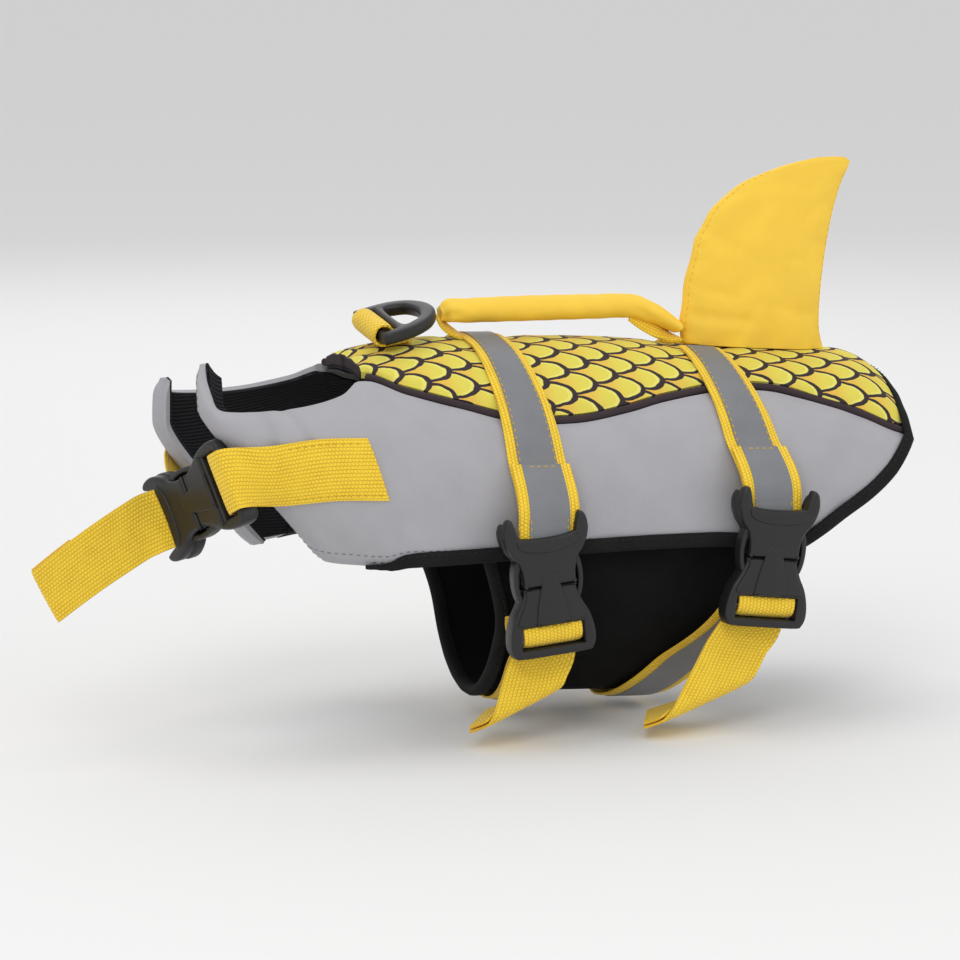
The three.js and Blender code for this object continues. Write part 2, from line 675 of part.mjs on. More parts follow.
const TAILS = {
  1: [
    { x: 2.5, y: -61, z: -117, wx: 1, wy: -0.15, wz: 0.16, half: 12.4 },
    { x: -3, y: -63.5, z: -121, wx: 1, wy: 0, wz: 0.12, half: 12.4 },
    { x: -7.5, y: -65.5, z: -125.5, wx: 1, wy: 0.15, wz: 0.08, half: 12.4 },
    { x: -10, y: -66.5, z: -130.5, wx: 1, wy: 0.4, wz: 0.02, half: 12.4 },
    { x: -14, y: -67, z: -135.5, wx: 1, wy: 0.7, wz: -0.05, half: 12.4 },
    { x: -19, y: -66.5, z: -139, wx: 0.5, wy: 1, wz: 0, half: 12.4 },
    { x: -25, y: -65, z: -141, wx: 0.35, wy: 1, wz: 0.1, half: 12.4 },
  ],
  2: [
    { x: 92, y: -61.5, z: -111.5, wx: 1, wy: -0.1, wz: -0.2, half: 12.4 },
    { x: 85, y: -65.5, z: -116, wx: 1, wy: 0, wz: -0.2, half: 12.4 },
    { x: 78, y: -68.5, z: -121.5, wx: 1, wy: 0.1, wz: -0.15, half: 12.4 },
    { x: 73, y: -70, z: -127.5, wx: 1, wy: 0.25, wz: -0.05, half: 12.4 },
    { x: 70.5, y: -70.5, z: -134, wx: 1, wy: 0.4, wz: 0.05, half: 12.4 },
    { x: 66.5, y: -70.5, z: -140.5, wx: 1, wy: 0.6, wz: 0.08, half: 12.4 },
    { x: 60.5, y: -69.5, z: -143.5, wx: 0.5, wy: 1, wz: 0.08, half: 12.4 },
    { x: 52.5, y: -68, z: -145, wx: 0.4, wy: 1, wz: 0.08, half: 12.4 },
    { x: 46, y: -66, z: -147, wx: 0.35, wy: 1, wz: 0.08, half: 12.4 },
  ],
  front: [
    { x: -144.5, y: 2, z: -65.5, wx: 0.42, wy: -0.05, wz: -0.88, half: 12.4 },
    { x: -152, y: -0.5, z: -72.5, wx: 0.52, wy: 0.05, wz: -0.8, half: 12.4 },
    { x: -163.5, y: -5, z: -79.5, wx: 0.5, wy: 0.12, wz: -0.84, half: 12.4 },
    { x: -176, y: -10, z: -83.5, wx: 0.36, wy: 0.2, wz: -0.86, half: 12.4 },
    { x: -187, y: -14, z: -88, wx: 0.28, wy: 0.3, wz: -0.86, half: 12.4 },
  ],
};
for (const [name, hanging] of Object.entries(TAILS)) {
  add(`strap_tail_${name}`, ribbon([...threaded(name), ...hanging], WEBBING), "yellow");
}

// Chest strap, sewn to both side panels, its free parts running to the buckle
const CHEST = {
  near: { sign: -1, sewn: [{ at: 0, topX: -101, topZ: -27.6, lowX: -95, lowZ: -52 },
    { at: 0.5, topX: -84, topZ: -25.8, lowX: -77, lowZ: -49.8 },
    { at: 1, topX: -65, topZ: -26, lowX: -57.5, lowZ: -50 }],
  end: { y: 29.4, z: 0 }, bow: 24 },
  far: { sign: 1, sewn: [{ at: 0, topX: -120, topZ: -36, lowX: -106, lowZ: -58.5 },
    { at: 0.5, topX: -92, topZ: -28.5, lowX: -82, lowZ: -52.5 },
    { at: 1, topX: -65, topZ: -26, lowX: -57.5, lowZ: -50 }],
  end: { y: -20, z: -6.4 }, bow: 24 },
};

function pathAt(sign, x, z) {
  let [low, high] = [22, 150];
  for (let i = 0; i < 40; i += 1) {
    const mid = (low + high) / 2;
    if (onForm(mid, sign * angleAt(mid, z)).x < x) low = mid;
    else high = mid;
  }
  return (low + high) / 2;
}

function sewnPoint({ sign, sewn }, t, v, out) {
  const x = read(sewn, "topX", t, "at") * (1 - v) + read(sewn, "lowX", t, "at") * v;
  const z = read(sewn, "topZ", t, "at") * (1 - v) + read(sewn, "lowZ", t, "at") * v;
  const path = pathAt(sign, x, z);
  return form(path, sign * angleAt(path, z), out);
}

function chestPoint(strap) {
  const free = 0.42;
  const { end, bow } = strap;
  return (u, v, out) => {
    if (u >= free) return sewnPoint(strap, (u - free) / (1 - free), v, out);
    const start = sewnPoint(strap, 0, v, out);
    const leave = start.clone().sub(sewnPoint(strap, 0.06, v, out)).normalize().multiplyScalar(bow);
    const target = new THREE.Vector3(12.4 * (2 * v - 1), end.y, end.z + out - GAP - WEBBING / 2)
      .applyMatrix4(BUCKLES.front);
    const arrive = FRONT_AXIS.clone().multiplyScalar(strap.sign * bow * 0.8);
    const t = 1 - u / free;
    const [t2, t3] = [t * t, t * t * t];
    return start.multiplyScalar(2 * t3 - 3 * t2 + 1).addScaledVector(leave, t3 - 2 * t2 + t)
      .addScaledVector(target, 3 * t2 - 2 * t3).addScaledVector(arrive, t3 - t2);
  };
}

add("chest_strap_near", sheet(chestPoint(CHEST.near), 16, 3, ON_PANEL, GAP), "yellow");
add("chest_strap_far", sheet(chestPoint(CHEST.far), 18, 3, ON_PANEL, GAP), "yellow");

export default jacket;
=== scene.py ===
"""A worn dog life jacket with nobody in it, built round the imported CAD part."""

import json
import math

import bmesh
import bpy
import numpy as np
from bpy.props import FloatProperty, PointerProperty
from mathutils import Matrix, Vector

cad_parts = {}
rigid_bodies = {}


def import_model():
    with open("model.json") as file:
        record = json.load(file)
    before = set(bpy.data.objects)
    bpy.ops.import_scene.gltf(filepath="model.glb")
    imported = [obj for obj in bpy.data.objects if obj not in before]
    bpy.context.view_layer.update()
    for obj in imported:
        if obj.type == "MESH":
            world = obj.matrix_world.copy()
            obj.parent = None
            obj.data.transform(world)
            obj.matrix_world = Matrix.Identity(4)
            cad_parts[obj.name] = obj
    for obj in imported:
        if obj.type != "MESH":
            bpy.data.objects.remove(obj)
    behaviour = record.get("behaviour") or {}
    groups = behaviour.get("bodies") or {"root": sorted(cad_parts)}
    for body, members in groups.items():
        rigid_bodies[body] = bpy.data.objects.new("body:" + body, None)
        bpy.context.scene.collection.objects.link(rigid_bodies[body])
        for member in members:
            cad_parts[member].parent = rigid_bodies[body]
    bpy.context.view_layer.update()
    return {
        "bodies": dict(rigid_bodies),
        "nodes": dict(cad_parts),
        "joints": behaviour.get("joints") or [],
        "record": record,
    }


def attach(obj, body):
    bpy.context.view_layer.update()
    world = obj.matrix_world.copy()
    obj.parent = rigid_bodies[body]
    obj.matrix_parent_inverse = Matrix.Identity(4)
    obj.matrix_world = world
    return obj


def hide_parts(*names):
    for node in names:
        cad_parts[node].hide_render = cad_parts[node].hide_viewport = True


bl_info = {
    "name": "Dog Life Jacket",
    "version": (1, 0, 0),
    "blender": (4, 5, 0),
    "location": "3D Viewport > Sidebar > Life Jacket",
    "description": "Builds the cloth, webbing, buckles and fin of a dog life jacket",
    "category": "Add Mesh",
}

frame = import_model()

MM = 0.001

# Sizes shared with the solids, in millimetres
PANEL = 4.6
LINING = 1.0
GAP = 0.3
CROWN = PANEL + GAP + LINING
WEBBING = 1.5
TAPE = 0.4
BAND = 2.4
PIPING = 1.6
BINDING = 0.9
BINDING_LEG = 5.4
LAP = 0.5
STRAP_HALF = 12.5
STRAP_HALF_TOP = 9.0
BELLY = -150.5
BELLY_FALL = 0.045
PATH_AT_ORIGIN = 154.0
WITHERS = 94.0
TAIL = 331.5
SEAM = PIPING + GAP
BAND_OUT = -CROWN - LAP - 2 * GAP - 2 * BINDING
ON_BAND = BAND_OUT + 2 * GAP + BINDING
BAND_REACH = math.radians(96)
TAPE_SHARE = 0.68  # width of a reflective tape over its strap's
CLEAR = 0.05  # a tape's free space over its strap
SIDE_ROWS, NECK_ROWS = 38, 14  # rows of a side panel, and those before the withers
TAU = 2 * math.pi


def table(names, rows):
    """Named columns from rows of numbers."""
    return {n: np.array(c, float) for n, c in zip(names.split(), zip(*rows))}


BODY = table("path x half crown middle square", [
    (0, -122, 15, 22, -30, 2.1),
    (6, -127, 19, 22, -31, 2.1),
    (12, -130.5, 24.5, 21, -32, 2.1),
    (18, -131, 30.5, 19.5, -34, 2.1),
    (25, -127.5, 36.5, 17, -36, 2.1),
    (34, -119.5, 41, 13, -40, 2.1),
    (48, -106, 45.5, 7.5, -45, 2.15),
    (64, -90, 49.5, 4, -49, 2.2),
    (82, -72, 53, 1.5, -53, 2.3),
    (94, -60, 55, 1.3, -57, 2.4),
    (109, -45, 56.5, 4, -60, 2.3),
    (124, -30, 57.5, 6.4, -62, 2.15),
    (154, 0, 58, 5.9, -63, 2),
    (204, 50, 57.5, 3.6, -63, 2),
    (254, 100, 56, -1.4, -64, 2),
    (294, 140, 54, -4.6, -65, 2),
    (314, 160, 51.5, -5.8, -66, 2),
    (324, 170, 49.5, -9.8, -66, 2),
    (331.5, 177.5, 47.5, -16.5, -66, 2),
])

# Upper edge of a side panel: neck rim, then the seam to the print panel
UPPER = table("path near far", [
    (0, -4, -14),
    (6, -0.5, -11),
    (12, 2.5, -8.5),
    (17, 1.5, -8),
    (22, -6, -9.5),
    (27, -12.5, -12.5),
    (34, -14, -13.5),
    (48, -13.6, -13.5),
    (64, -12.4, -12.2),
    (82, -8.4, -8.2),
    (94, -3, -3),
    (108, -8, -8),
    (130, -14.2, -14.2),
    (146, -19, -19),
    (158, -21.5, -21.5),
    (181, -22, -22),
    (202, -19.3, -19.3),
    (220, -16, -16),
    (246, -13.5, -13.5),
    (263, -14, -14),
    (275, -15.8, -15.8),
    (290, -20.5, -20.5),
    (307, -26.2, -26.2),
    (321, -32.5, -32.5),
    (331.5, -36, -36),
])

# Lower edge of a side panel, up the slanting rear corner
LOWER = table("path near far", [
    (0, -78, -80),
    (30, -78.5, -80),
    (64, -79, -79),
    (90, -77, -77.5),
    (144, -76, -76),
    (182, -75, -75),
    (229, -75.5, -75.5),
    (249, -77, -77),
    (264, -80, -80),
    (274, -79.5, -79.5),
    (284, -74.5, -74.5),
    (295, -67.5, -67.5),
    (308, -60, -60),
    (319, -52, -52),
    (326.5, -44.5, -44.5),
    (331.5, -39.5, -39.5),
])

THROAT = {
    "near": {"from": 0, "start": -14, "rate": 0.85, "soft": 5, "back": 3.5},
    "far": {"from": 9, "start": -26, "rate": 0.9, "soft": 12, "back": 0},
}
SIDES = {"near": -1, "far": 1}


def smooth(t):
    c = np.clip(t, 0, 1)
    return c * c * (3 - 2 * c)


def hermite(t, a, slope_a, b, slope_b):
    """A curve from a to b with the slopes given at its two ends."""
    t2, t3 = t * t, t * t * t
    return (
        (2 * t3 - 3 * t2 + 1) * a
        + (t3 - 2 * t2 + t) * slope_a
        + (3 * t2 - 2 * t3) * b
        + (t3 - t2) * slope_b
    )


def lengths(points):
    """Distance run at each point of a line, from its start."""
    runs = np.linalg.norm(np.diff(points, axis=0), axis=1)
    return np.concatenate([[0], np.cumsum(runs)])


def read(rows, name, at, key="path"):
    """Smooth reading of one column at one or many places."""
    k, y = rows[key], rows[name]
    at = np.asarray(at, float)
    i = np.clip(np.searchsorted(k, at) - 1, 0, len(k) - 2)
    before, after = np.maximum(i - 1, 0), np.minimum(i + 2, len(k) - 1)
    run = k[i + 1] - k[i]
    t = np.clip((at - k[i]) / run, 0, 1)
    slope_a = (y[i + 1] - y[before]) / (k[i + 1] - k[before]) * run
    slope_b = (y[after] - y[i]) / (k[after] - k[i]) * run
    return hermite(t, y[i], slope_a, y[i + 1], slope_b)


def slant(path, side, z):
    """How far the slanting throat sets a place back."""
    throat = THROAT[side]
    drop = np.maximum(throat["start"] - z, 0)
    fade = 1 - smooth((path - 20) / 110)
    return fade * (throat["back"] + throat["rate"] * drop * drop / (drop + throat["soft"]))


def belly(path):
    return BELLY - BELLY_FALL * np.maximum(path - PATH_AT_ORIGIN, 0)


def angle_at(path, z):
    """Angle round the section, from the spine, at a height."""
    crown, middle = read(BODY, "crown", path), read(BODY, "middle", path)
    square = read(BODY, "square", path)
    reach = np.where(z > middle, crown - middle, middle - belly(path))
    share = np.clip(np.abs(z - middle) / reach, 0, 1)
    angle = np.arccos(share ** (square / 2))
    return np.where(z > middle, angle, math.pi - angle)


def on_form(path, angle):
    path, angle = np.broadcast_arrays(np.asarray(path, float), np.asarray(angle, float))
    middle = read(BODY, "middle", path)
    power = 2 / read(BODY, "square", path)
    s, c = np.sin(angle), np.cos(angle)
    reach = np.where(c > 0, read(BODY, "crown", path) - middle, middle - belly(path))
    y = read(BODY, "half", path) * np.sign(s) * np.abs(s) ** power
    z = middle + reach * np.sign(c) * np.abs(c) ** power
    lean = np.where(angle < 0, slant(path, "near", z), slant(path, "far", z))
    x = read(BODY, "x", path) + lean + np.maximum(path - TAIL, 0)
    return np.stack([x, y, z], -1)


def unit(v):
    return v / np.maximum(np.linalg.norm(v, axis=-1, keepdims=True), 1e-9)


def outward(path, angle):
    p = np.minimum(path, TAIL - 0.6)
    along = on_form(p + 0.5, angle) - on_form(p - 0.5, angle)
    round_ = on_form(p, angle + 0.02) - on_form(p, angle - 0.02)
    return unit(np.cross(along, round_))


def form(path, angle, out):
    """A point of the form, moved out along its normal."""
    return on_form(path, angle) + outward(path, angle) * np.asarray(out, float)[..., None]


def grid(rows, columns):
    """Shares along and across a grid, as two arrays."""
    return np.meshgrid(np.linspace(0, 1, rows + 1), np.linspace(0, 1, columns + 1), indexing="ij")


# Meshes


def paint(obj, material, body="jacket"):
    obj.data.materials.append(material)
    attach(obj, body)


def dress(obj, node, look):
    """A piece's look and slot, and the solid that it stands for."""
    paint(obj, material(look))
    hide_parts(node)


def make_mesh(name, points, faces, uvs=None, sharp=50):
    """An object from points in millimetres, with its faces turned outward."""
    mesh = bpy.data.meshes.new(name)
    mesh.from_pydata((np.asarray(points) * MM).tolist(), [], [list(map(int, f)) for f in faces])
    if uvs is not None:
        layer = mesh.uv_layers.new(name="cloth")
        index = np.empty(len(mesh.loops), int)
        mesh.loops.foreach_get("vertex_index", index)
        layer.data.foreach_set("uv", np.asarray(uvs, float)[index].ravel())
    bm = bmesh.new()
    bm.from_mesh(mesh)
    bmesh.ops.recalc_face_normals(bm, faces=bm.faces)
    bm.to_mesh(mesh)
    bm.free()
    mesh.shade_smooth()
    mesh.set_sharp_from_angle(angle=math.radians(sharp))
    obj = bpy.data.objects.new(name, mesh)
    bpy.context.scene.collection.objects.link(obj)
    return obj


def grid_faces(rows, columns, start=0, flip=False):
    i, j = np.meshgrid(np.arange(rows), np.arange(columns), indexing="ij")
    a = (start + i * (columns + 1) + j).ravel()
    quads = np.stack([a, a + columns + 1, a + columns + 2, a + 1], 1)
    return quads[:, ::-1] if flip else quads


def cloth_uv(points, centre):
    """Millimetres along and across the cloth at each point of its grid."""
    along = np.linalg.norm(np.diff(points, axis=0), axis=2).mean(1)
    across = np.linalg.norm(np.diff(points, axis=1), axis=2)
    u = np.concatenate([[0], np.cumsum(along)])
    v = np.concatenate([np.zeros((len(points), 1)), np.cumsum(across, 1)], 1)
    v -= v[:, -1:] * centre
    return np.stack([np.broadcast_to(u[:, None], v.shape), v], -1)


def shell(name, front, back, centre=0.5, sharp=50, shift=0.0):
    """A closed wall between two grids of points."""
    rows, columns = front.shape[0] - 1, front.shape[1] - 1
    size = (rows + 1) * (columns + 1)
    index = np.arange(size).reshape(rows + 1, columns + 1)
    ring = np.concatenate([index[0, :], index[1:, -1], index[-1, -2::-1], index[-2:0:-1, 0]])
    after = np.roll(ring, -1)
    wall = np.stack([ring, after, after + size, ring + size], 1)
    faces = np.concatenate([grid_faces(rows, columns), grid_faces(rows, columns, size, True), wall])
    points = np.concatenate([front.reshape(-1, 3), back.reshape(-1, 3)])
    uv = cloth_uv(front, centre) + np.array([shift, 0])
    uvs = np.concatenate([uv.reshape(-1, 2)] * 2)
    return make_mesh(name, points, faces, uvs, sharp)


def loft(name, rings, closed_ends=True, sharp=50):
    """A skin through rings of the same count of points."""
    count, sides = rings.shape[0], rings.shape[1]
    i, j = np.meshgrid(np.arange(count - 1), np.arange(sides), indexing="ij")
    a, b = (i * sides + j).ravel(), (i * sides + (j + 1) % sides).ravel()
    faces = [list(f) for f in np.stack([a, b, b + sides, a + sides], 1)]
    if closed_ends:
        faces.append(list(range(sides)))
        faces.append(list(range((count - 1) * sides, count * sides)))
    girth = np.linalg.norm(rings - np.roll(rings, 1, axis=1), axis=2)
    run = np.linalg.norm(np.diff(rings.mean(1), axis=0), axis=1)
    u = np.broadcast_to(np.concatenate([[0], np.cumsum(run)])[:, None], girth.shape)
    uvs = np.stack([u, np.cumsum(girth, 1)], -1).reshape(-1, 2)
    return make_mesh(name, rings.reshape(-1, 3), faces, uvs, sharp)


def declare_sheet(obj, front):
    """Works out a thin cloth's length, width and area from its own grid, in metres, and keeps none of them."""
    length = np.linalg.norm(np.diff(front, axis=0), axis=2).sum(0).max() * MM
    width = np.linalg.norm(np.diff(front, axis=1), axis=2).sum(1).max() * MM
    side_a = front[1:, :-1] - front[:-1, :-1]
    side_b = front[:-1, 1:] - front[:-1, :-1]
    area = np.linalg.norm(np.cross(side_a, side_b), axis=2).sum() * MM * MM
    area = min(max(area, 0.31 * width * length), width * length)


# Creases, as lines on the flank: ends in X and Z, how wide, how deep
FLANK_CREASES = {
    "near": [
        (-104, -18, -98, -42, 2.6, 1.5),
        (-96, -14, -88, -26, 2.2, 1.1),
        (-110, -30, -100, -34, 2.2, -0.9),
        (-112, -22, -104, -60, 5.0, -0.6),
        (-78, -22, -70, -14, 5.0, 0.5),
        (-60, -56, -20, -66, 7.0, 0.7),
        (-30, -22, -22, -58, 8.0, 0.6),
        (-12, -30, -16, -72, 5.0, 0.5),
        (26, -30, 34, -68, 6.0, 0.5),
        (44, -62, 84, -58, 8.0, 0.6),
        (60, -30, 66, -46, 7.0, -0.5),
        (124, -22, 132, -58, 7.0, 0.6),
        (150, -32, 138, -64, 6.0, 0.6),
        (-46, -40, 0, -46, 10.0, -0.5),
    ],
    "far": [
        (-106, -20, -96, -44, 4.0, 0.8),
        (-84, -58, -62, -70, 6.0, 0.6),
        (-66, -20, -56, -52, 7.0, 0.6),
        (-26, -26, -34, -64, 8.0, 0.7),
        (-10, -34, -14, -70, 5.0, 0.5),
        (28, -28, 36, -66, 6.0, 0.6),
        (50, -58, 82, -64, 8.0, 0.6),
        (62, -28, 70, -48, 7.0, -0.5),
        (122, -24, 134, -56, 7.0, 0.6),
        (152, -34, 142, -62, 6.0, 0.6),
    ],
}


def creases(a, b, rows):
    """Sum of soft troughs and ridges at places (a, b)."""
    total = np.zeros_like(a)
    for a0, b0, a1, b1, wide, deep in rows:
        run = math.hypot(a1 - a0, b1 - b0)
        ua, ub = (a1 - a0) / run, (b1 - b0) / run
        along = (a - a0) * ua + (b - b0) * ub
        side = -(a - a0) * ub + (b - b0) * ua
        bend = side + 0.06 * wide * np.sin(along * 2.4 / wide)
        past = np.maximum(np.abs(along - run / 2) - run / 2, 0)
        total -= deep * np.exp(-(bend / wide) ** 2) * np.exp(-(past / (1.4 * wide)) ** 2)
    return total


def ripple(a, b, size, seed):
    """Small uneven waviness of cloth."""
    p, q = a / size, b / size
    return (
        np.sin(1.0 * p + 1.7 * np.sin(0.8 * q + seed))
        + 0.6 * np.sin(1.9 * q - 1.3 * np.sin(1.1 * p + 2.1 * seed))
        + 0.4 * np.sin(2.7 * p + 2.3 * q + seed)
    ) / 2


def near_strap(path, angle):
    """How much a webbing strap holds the panel down there, from 0 to 1."""
    held = np.zeros(np.broadcast(path, angle).shape)
    for strap in (strap_1_at, strap_2_at):
        off = np.abs(path - strap(angle)) - STRAP_HALF
        held = np.maximum(held, 1 - smooth(off / 9))
    return held


def strap_1_at(angle):
    return 153.5 + 5 * smooth(np.abs(angle) / 1.5)


def strap_2_at(angle):
    return 250.5 + 6 * smooth(np.abs(angle) / 1.5) - 4 * np.cos(angle)


def edge_fall(distance, wide, deep):
    """A panel's cover drawn down to its seam."""
    return -deep * np.exp(-(np.maximum(distance, 0) / wide) ** 2)


# Shaders


class Value:
    """A shader socket that takes part in sums."""

    def __init__(self, shader, socket):
        self.shader, self.socket = shader, socket

    def math(self, operation, *inputs):
        return self.shader.value("ShaderNodeMath", {"operation": operation}, dict(enumerate(inputs)))

    def __add__(self, other):
        return self.math("ADD", self, other)

    def __sub__(self, other):
        return self.math("SUBTRACT", self, other)

    def __rsub__(self, other):
        return self.math("SUBTRACT", other, self)

    def __mul__(self, other):
        return self.math("MULTIPLY", self, other)

    def __truediv__(self, other):
        return self.math("DIVIDE", self, other)

    def __gt__(self, other):
        return self.math("GREATER_THAN", self, other)

    def __lt__(self, other):
        return self.math("LESS_THAN", self, other)

    def fn(self, operation, *others):
        return self.math(operation, self, *others)

    def pick(self, yes, no):
        """yes where this is 1, no where it is 0."""
        return no + self * (yes - no)

    def step(self, low, high):
        """A soft step from 0 to 1 between two levels."""
        inputs = {"Value": self, "From Min": low, "From Max": high}
        return self.shader.value("ShaderNodeMapRange", {"interpolation_type": "SMOOTHSTEP"}, inputs)


def linear(*colour):
    """A colour read off a screen, 0 to 255, as light."""
    return tuple(((c / 255 + 0.055) / 1.055) ** 2.4 if c > 10 else c / 3295 for c in colour) + (1.0,)


class Shader:
    """One material; its constants are set on the surface's own sockets."""

    def __init__(self, name, colour, roughness, **constants):
        self.material = bpy.data.materials.new(name)
        self.material.use_nodes = True
        self.material.diffuse_color = colour
        self.tree = self.material.node_tree
        self.surface = self.tree.nodes["Principled BSDF"]
        self.set("Base Color", colour)
        self.set("Roughness", roughness)
        for key, value in constants.items():
            self.set(key.replace("_", " "), value)

    def set(self, name, value):
        target = self.surface.inputs[name]
        if isinstance(value, Value):
            self.tree.links.new(value.socket, target)
        else:
            target.default_value = value

    def node(self, kind, settings=None, inputs=None):
        made = self.tree.nodes.new(kind)
        for key, value in (settings or {}).items():
            setattr(made, key, value)
        for key, value in (inputs or {}).items():
            if isinstance(value, Value):
                self.tree.links.new(value.socket, made.inputs[key])
            else:
                made.inputs[key].default_value = value
        return made

    def value(self, kind, settings=None, inputs=None, output=0):
        return Value(self, self.node(kind, settings, inputs).outputs[output])

    def place(self):
        """Millimetres along and across the cloth."""
        uv = self.value("ShaderNodeUVMap", {"uv_map": "cloth"})
        parts = self.node("ShaderNodeSeparateXYZ", {}, {0: uv})
        return Value(self, parts.outputs[0]), Value(self, parts.outputs[1])

    def vector(self, x, y, z=0.0):
        return self.value("ShaderNodeCombineXYZ", {}, {0: x, 1: y, 2: z})

    def noise(self, vector, scale, detail=2.0):
        return self.value("ShaderNodeTexNoise", {}, {"Vector": vector, "Scale": scale, "Detail": detail})

    def body(self):
        """Millimetres in the object's own frame."""
        place = self.value("ShaderNodeTexCoord", {}, {}, 3)
        inputs = {0: place, "Scale": 1000.0}
        return self.value("ShaderNodeVectorMath", {"operation": "SCALE"}, inputs)

    def blend(self, factor, a, b):
        return self.value("ShaderNodeMix", {"data_type": "RGBA"}, {0: factor, 6: a, 7: b}, 2)

    def bump(self, height, distance, strength=1.0):
        inputs = {"Height": height, "Strength": strength, "Distance": distance * MM}
        self.set("Normal", self.value("ShaderNodeBump", {}, inputs))


def cloth_material(name, colour, roughness=0.85, pitch=0.7, depth=0.05, tone=0.06, **constants):
    """Plain woven cloth: fine threads and slightly uneven colour."""
    s = Shader(name, colour, roughness, **constants)
    u, v = s.place()
    where = s.vector(u, v)
    weave = (u * (TAU / pitch)).fn("SINE") * (v * (TAU / pitch)).fn("SINE")
    soft = s.noise(where, 0.06, 3.0)
    fine = s.noise(where, 1.7, 1.0)
    dark = tuple(c * (1 - 2 * tone) for c in colour[:3]) + (1.0,)
    light = tuple(min(c * (1 + 2 * tone), 1) for c in colour[:3]) + (1.0,)
    shade = (soft * 0.8 + fine * 0.2 + weave * 0.06).step(0.25, 0.75)
    s.set("Base Color", s.blend(shade, dark, light))
    s.bump(weave * 0.5 + fine * 0.5, depth)
    return s.material


def lining_material():
    """Dark lining with fine ribs along the garment, with shade painted between the ribs."""
    s = Shader("lining", linear(40, 40, 43), 0.85, Specular_IOR_Level=0.2)
    u, v = s.place()
    rib = (v * (TAU / 1.7)).fn("SINE") * 0.5 + 0.5
    fine = s.noise(s.vector(u, v), 1.2)
    # painted shade: darker in the hollows between the ribs, lighter on their crests, with random tone from the
    # noise
    s.set("Base Color", s.blend(rib * 0.7 + fine * 0.3, linear(16, 16, 18), linear(50, 50, 54)))
    s.bump(rib, 0.3)
    return s.material


def webbing_material(name, colour, deep):
    """Ribbed webbing: rows of raised yarn across it, in columns along it, with shade painted darker into its
    grooves.
    """
    s = Shader(name, colour, 0.75, Sheen_Weight=0.15)
    u, v = s.place()
    column_wide, row_pitch = 1.55, 1.45
    column = (v / column_wide + 50).fn("FLOOR")
    shift = column.fn("MODULO", 2) * math.pi
    ridge = ((u * (TAU / row_pitch)) + shift).fn("SINE") * 0.5 + 0.5
    groove = (v * (math.pi / column_wide)).fn("SINE").fn("ABSOLUTE").fn("POWER", 0.4)
    raised = ridge * 0.6 * groove + groove * 0.4
    wear = s.noise(s.vector(u, v), 0.12, 3.0)
    # painted shade: the colour runs from deep in the grooves to colour on the raised yarn; the wear noise adds
    # random uneven tone
    s.set("Base Color", s.blend((raised * 0.8 + wear * 0.35).step(0.1, 0.85), deep, colour))
    s.bump(raised, 0.35)
    return s.material


PRINT_SCALE = {"step": 10.3, "half": 6.4, "reach": 12.8, "fall": 0.1}


def print_material():
    """Overlapping rounded scales that point to the tail, each with a dark outline."""
    s = Shader("scale_print", linear(218, 206, 100), 0.75)
    u, v = s.place()
    where = s.vector(u, v)
    wander = s.noise(where, 0.16, 2.0) - 0.5
    wander_across = s.noise(s.vector(v, u, 7.0), 0.14, 2.0) - 0.5
    step, half, reach = PRINT_SCALE["step"], PRINT_SCALE["half"], PRINT_SCALE["reach"]
    along = u + wander * 2.4 + 200.0
    down = v.fn("ABSOLUTE") - u * PRINT_SCALE["fall"] + wander_across * 1.8 + 200.0
    first = ((along - reach) / step).fn("CEIL")

    def scale(number):
        odd = number.fn("MODULO", 2)
        turn = (down - odd * half) / (2 * half)
        off = (turn - (turn + 0.5).fn("FLOOR")).fn("ABSOLUTE") * 2
        tip = (1 - off * off).fn("MAXIMUM", 0).fn("SQRT")
        return number * step + tip * reach, off, (along - number * step) / reach

    edge, off, run = zip(*(scale(first + i) for i in range(3)))
    on_first = edge[0] > along
    on_second = edge[1] > along
    off = on_first.pick(off[0], on_second.pick(off[1], off[2]))
    run = on_first.pick(run[0], on_second.pick(run[1], run[2]))
    ahead = run.fn("MAXIMUM", 0)
    radial = (ahead * ahead + off * off).fn("SQRT")
    uneven = (s.noise(where, 0.35) - 0.5) * 0.05
    outline = (radial + uneven).step(0.79, 0.82).fn("MAXIMUM", u < 0.7)
    rim = (radial + uneven).step(0.66, 0.71) * run.step(0.0, 0.45)
    fill = s.blend(run.step(-0.5, 0.5), linear(234, 184, 74), linear(226, 214, 84))
    fill = s.blend(rim * 0.55, fill, linear(240, 234, 130))
    s.set("Base Color", s.blend(outline, fill, linear(44, 30, 36)))
    thread = 0.7
    weave = (u * (TAU / thread)).fn("SINE") * (v * (TAU / thread)).fn("SINE")
    s.bump(weave, 0.04)
    return s.material


def plastic_material():
    s = Shader("buckle_plastic", linear(34, 34, 35), 0.42, Specular_IOR_Level=0.45)
    grain = s.noise(s.body(), 2.2, 2.0)
    s.set("Base Color", s.blend(grain, linear(24, 24, 25), linear(34, 34, 35)))
    s.bump(grain, 0.05)
    return s.material


MATERIALS = {}


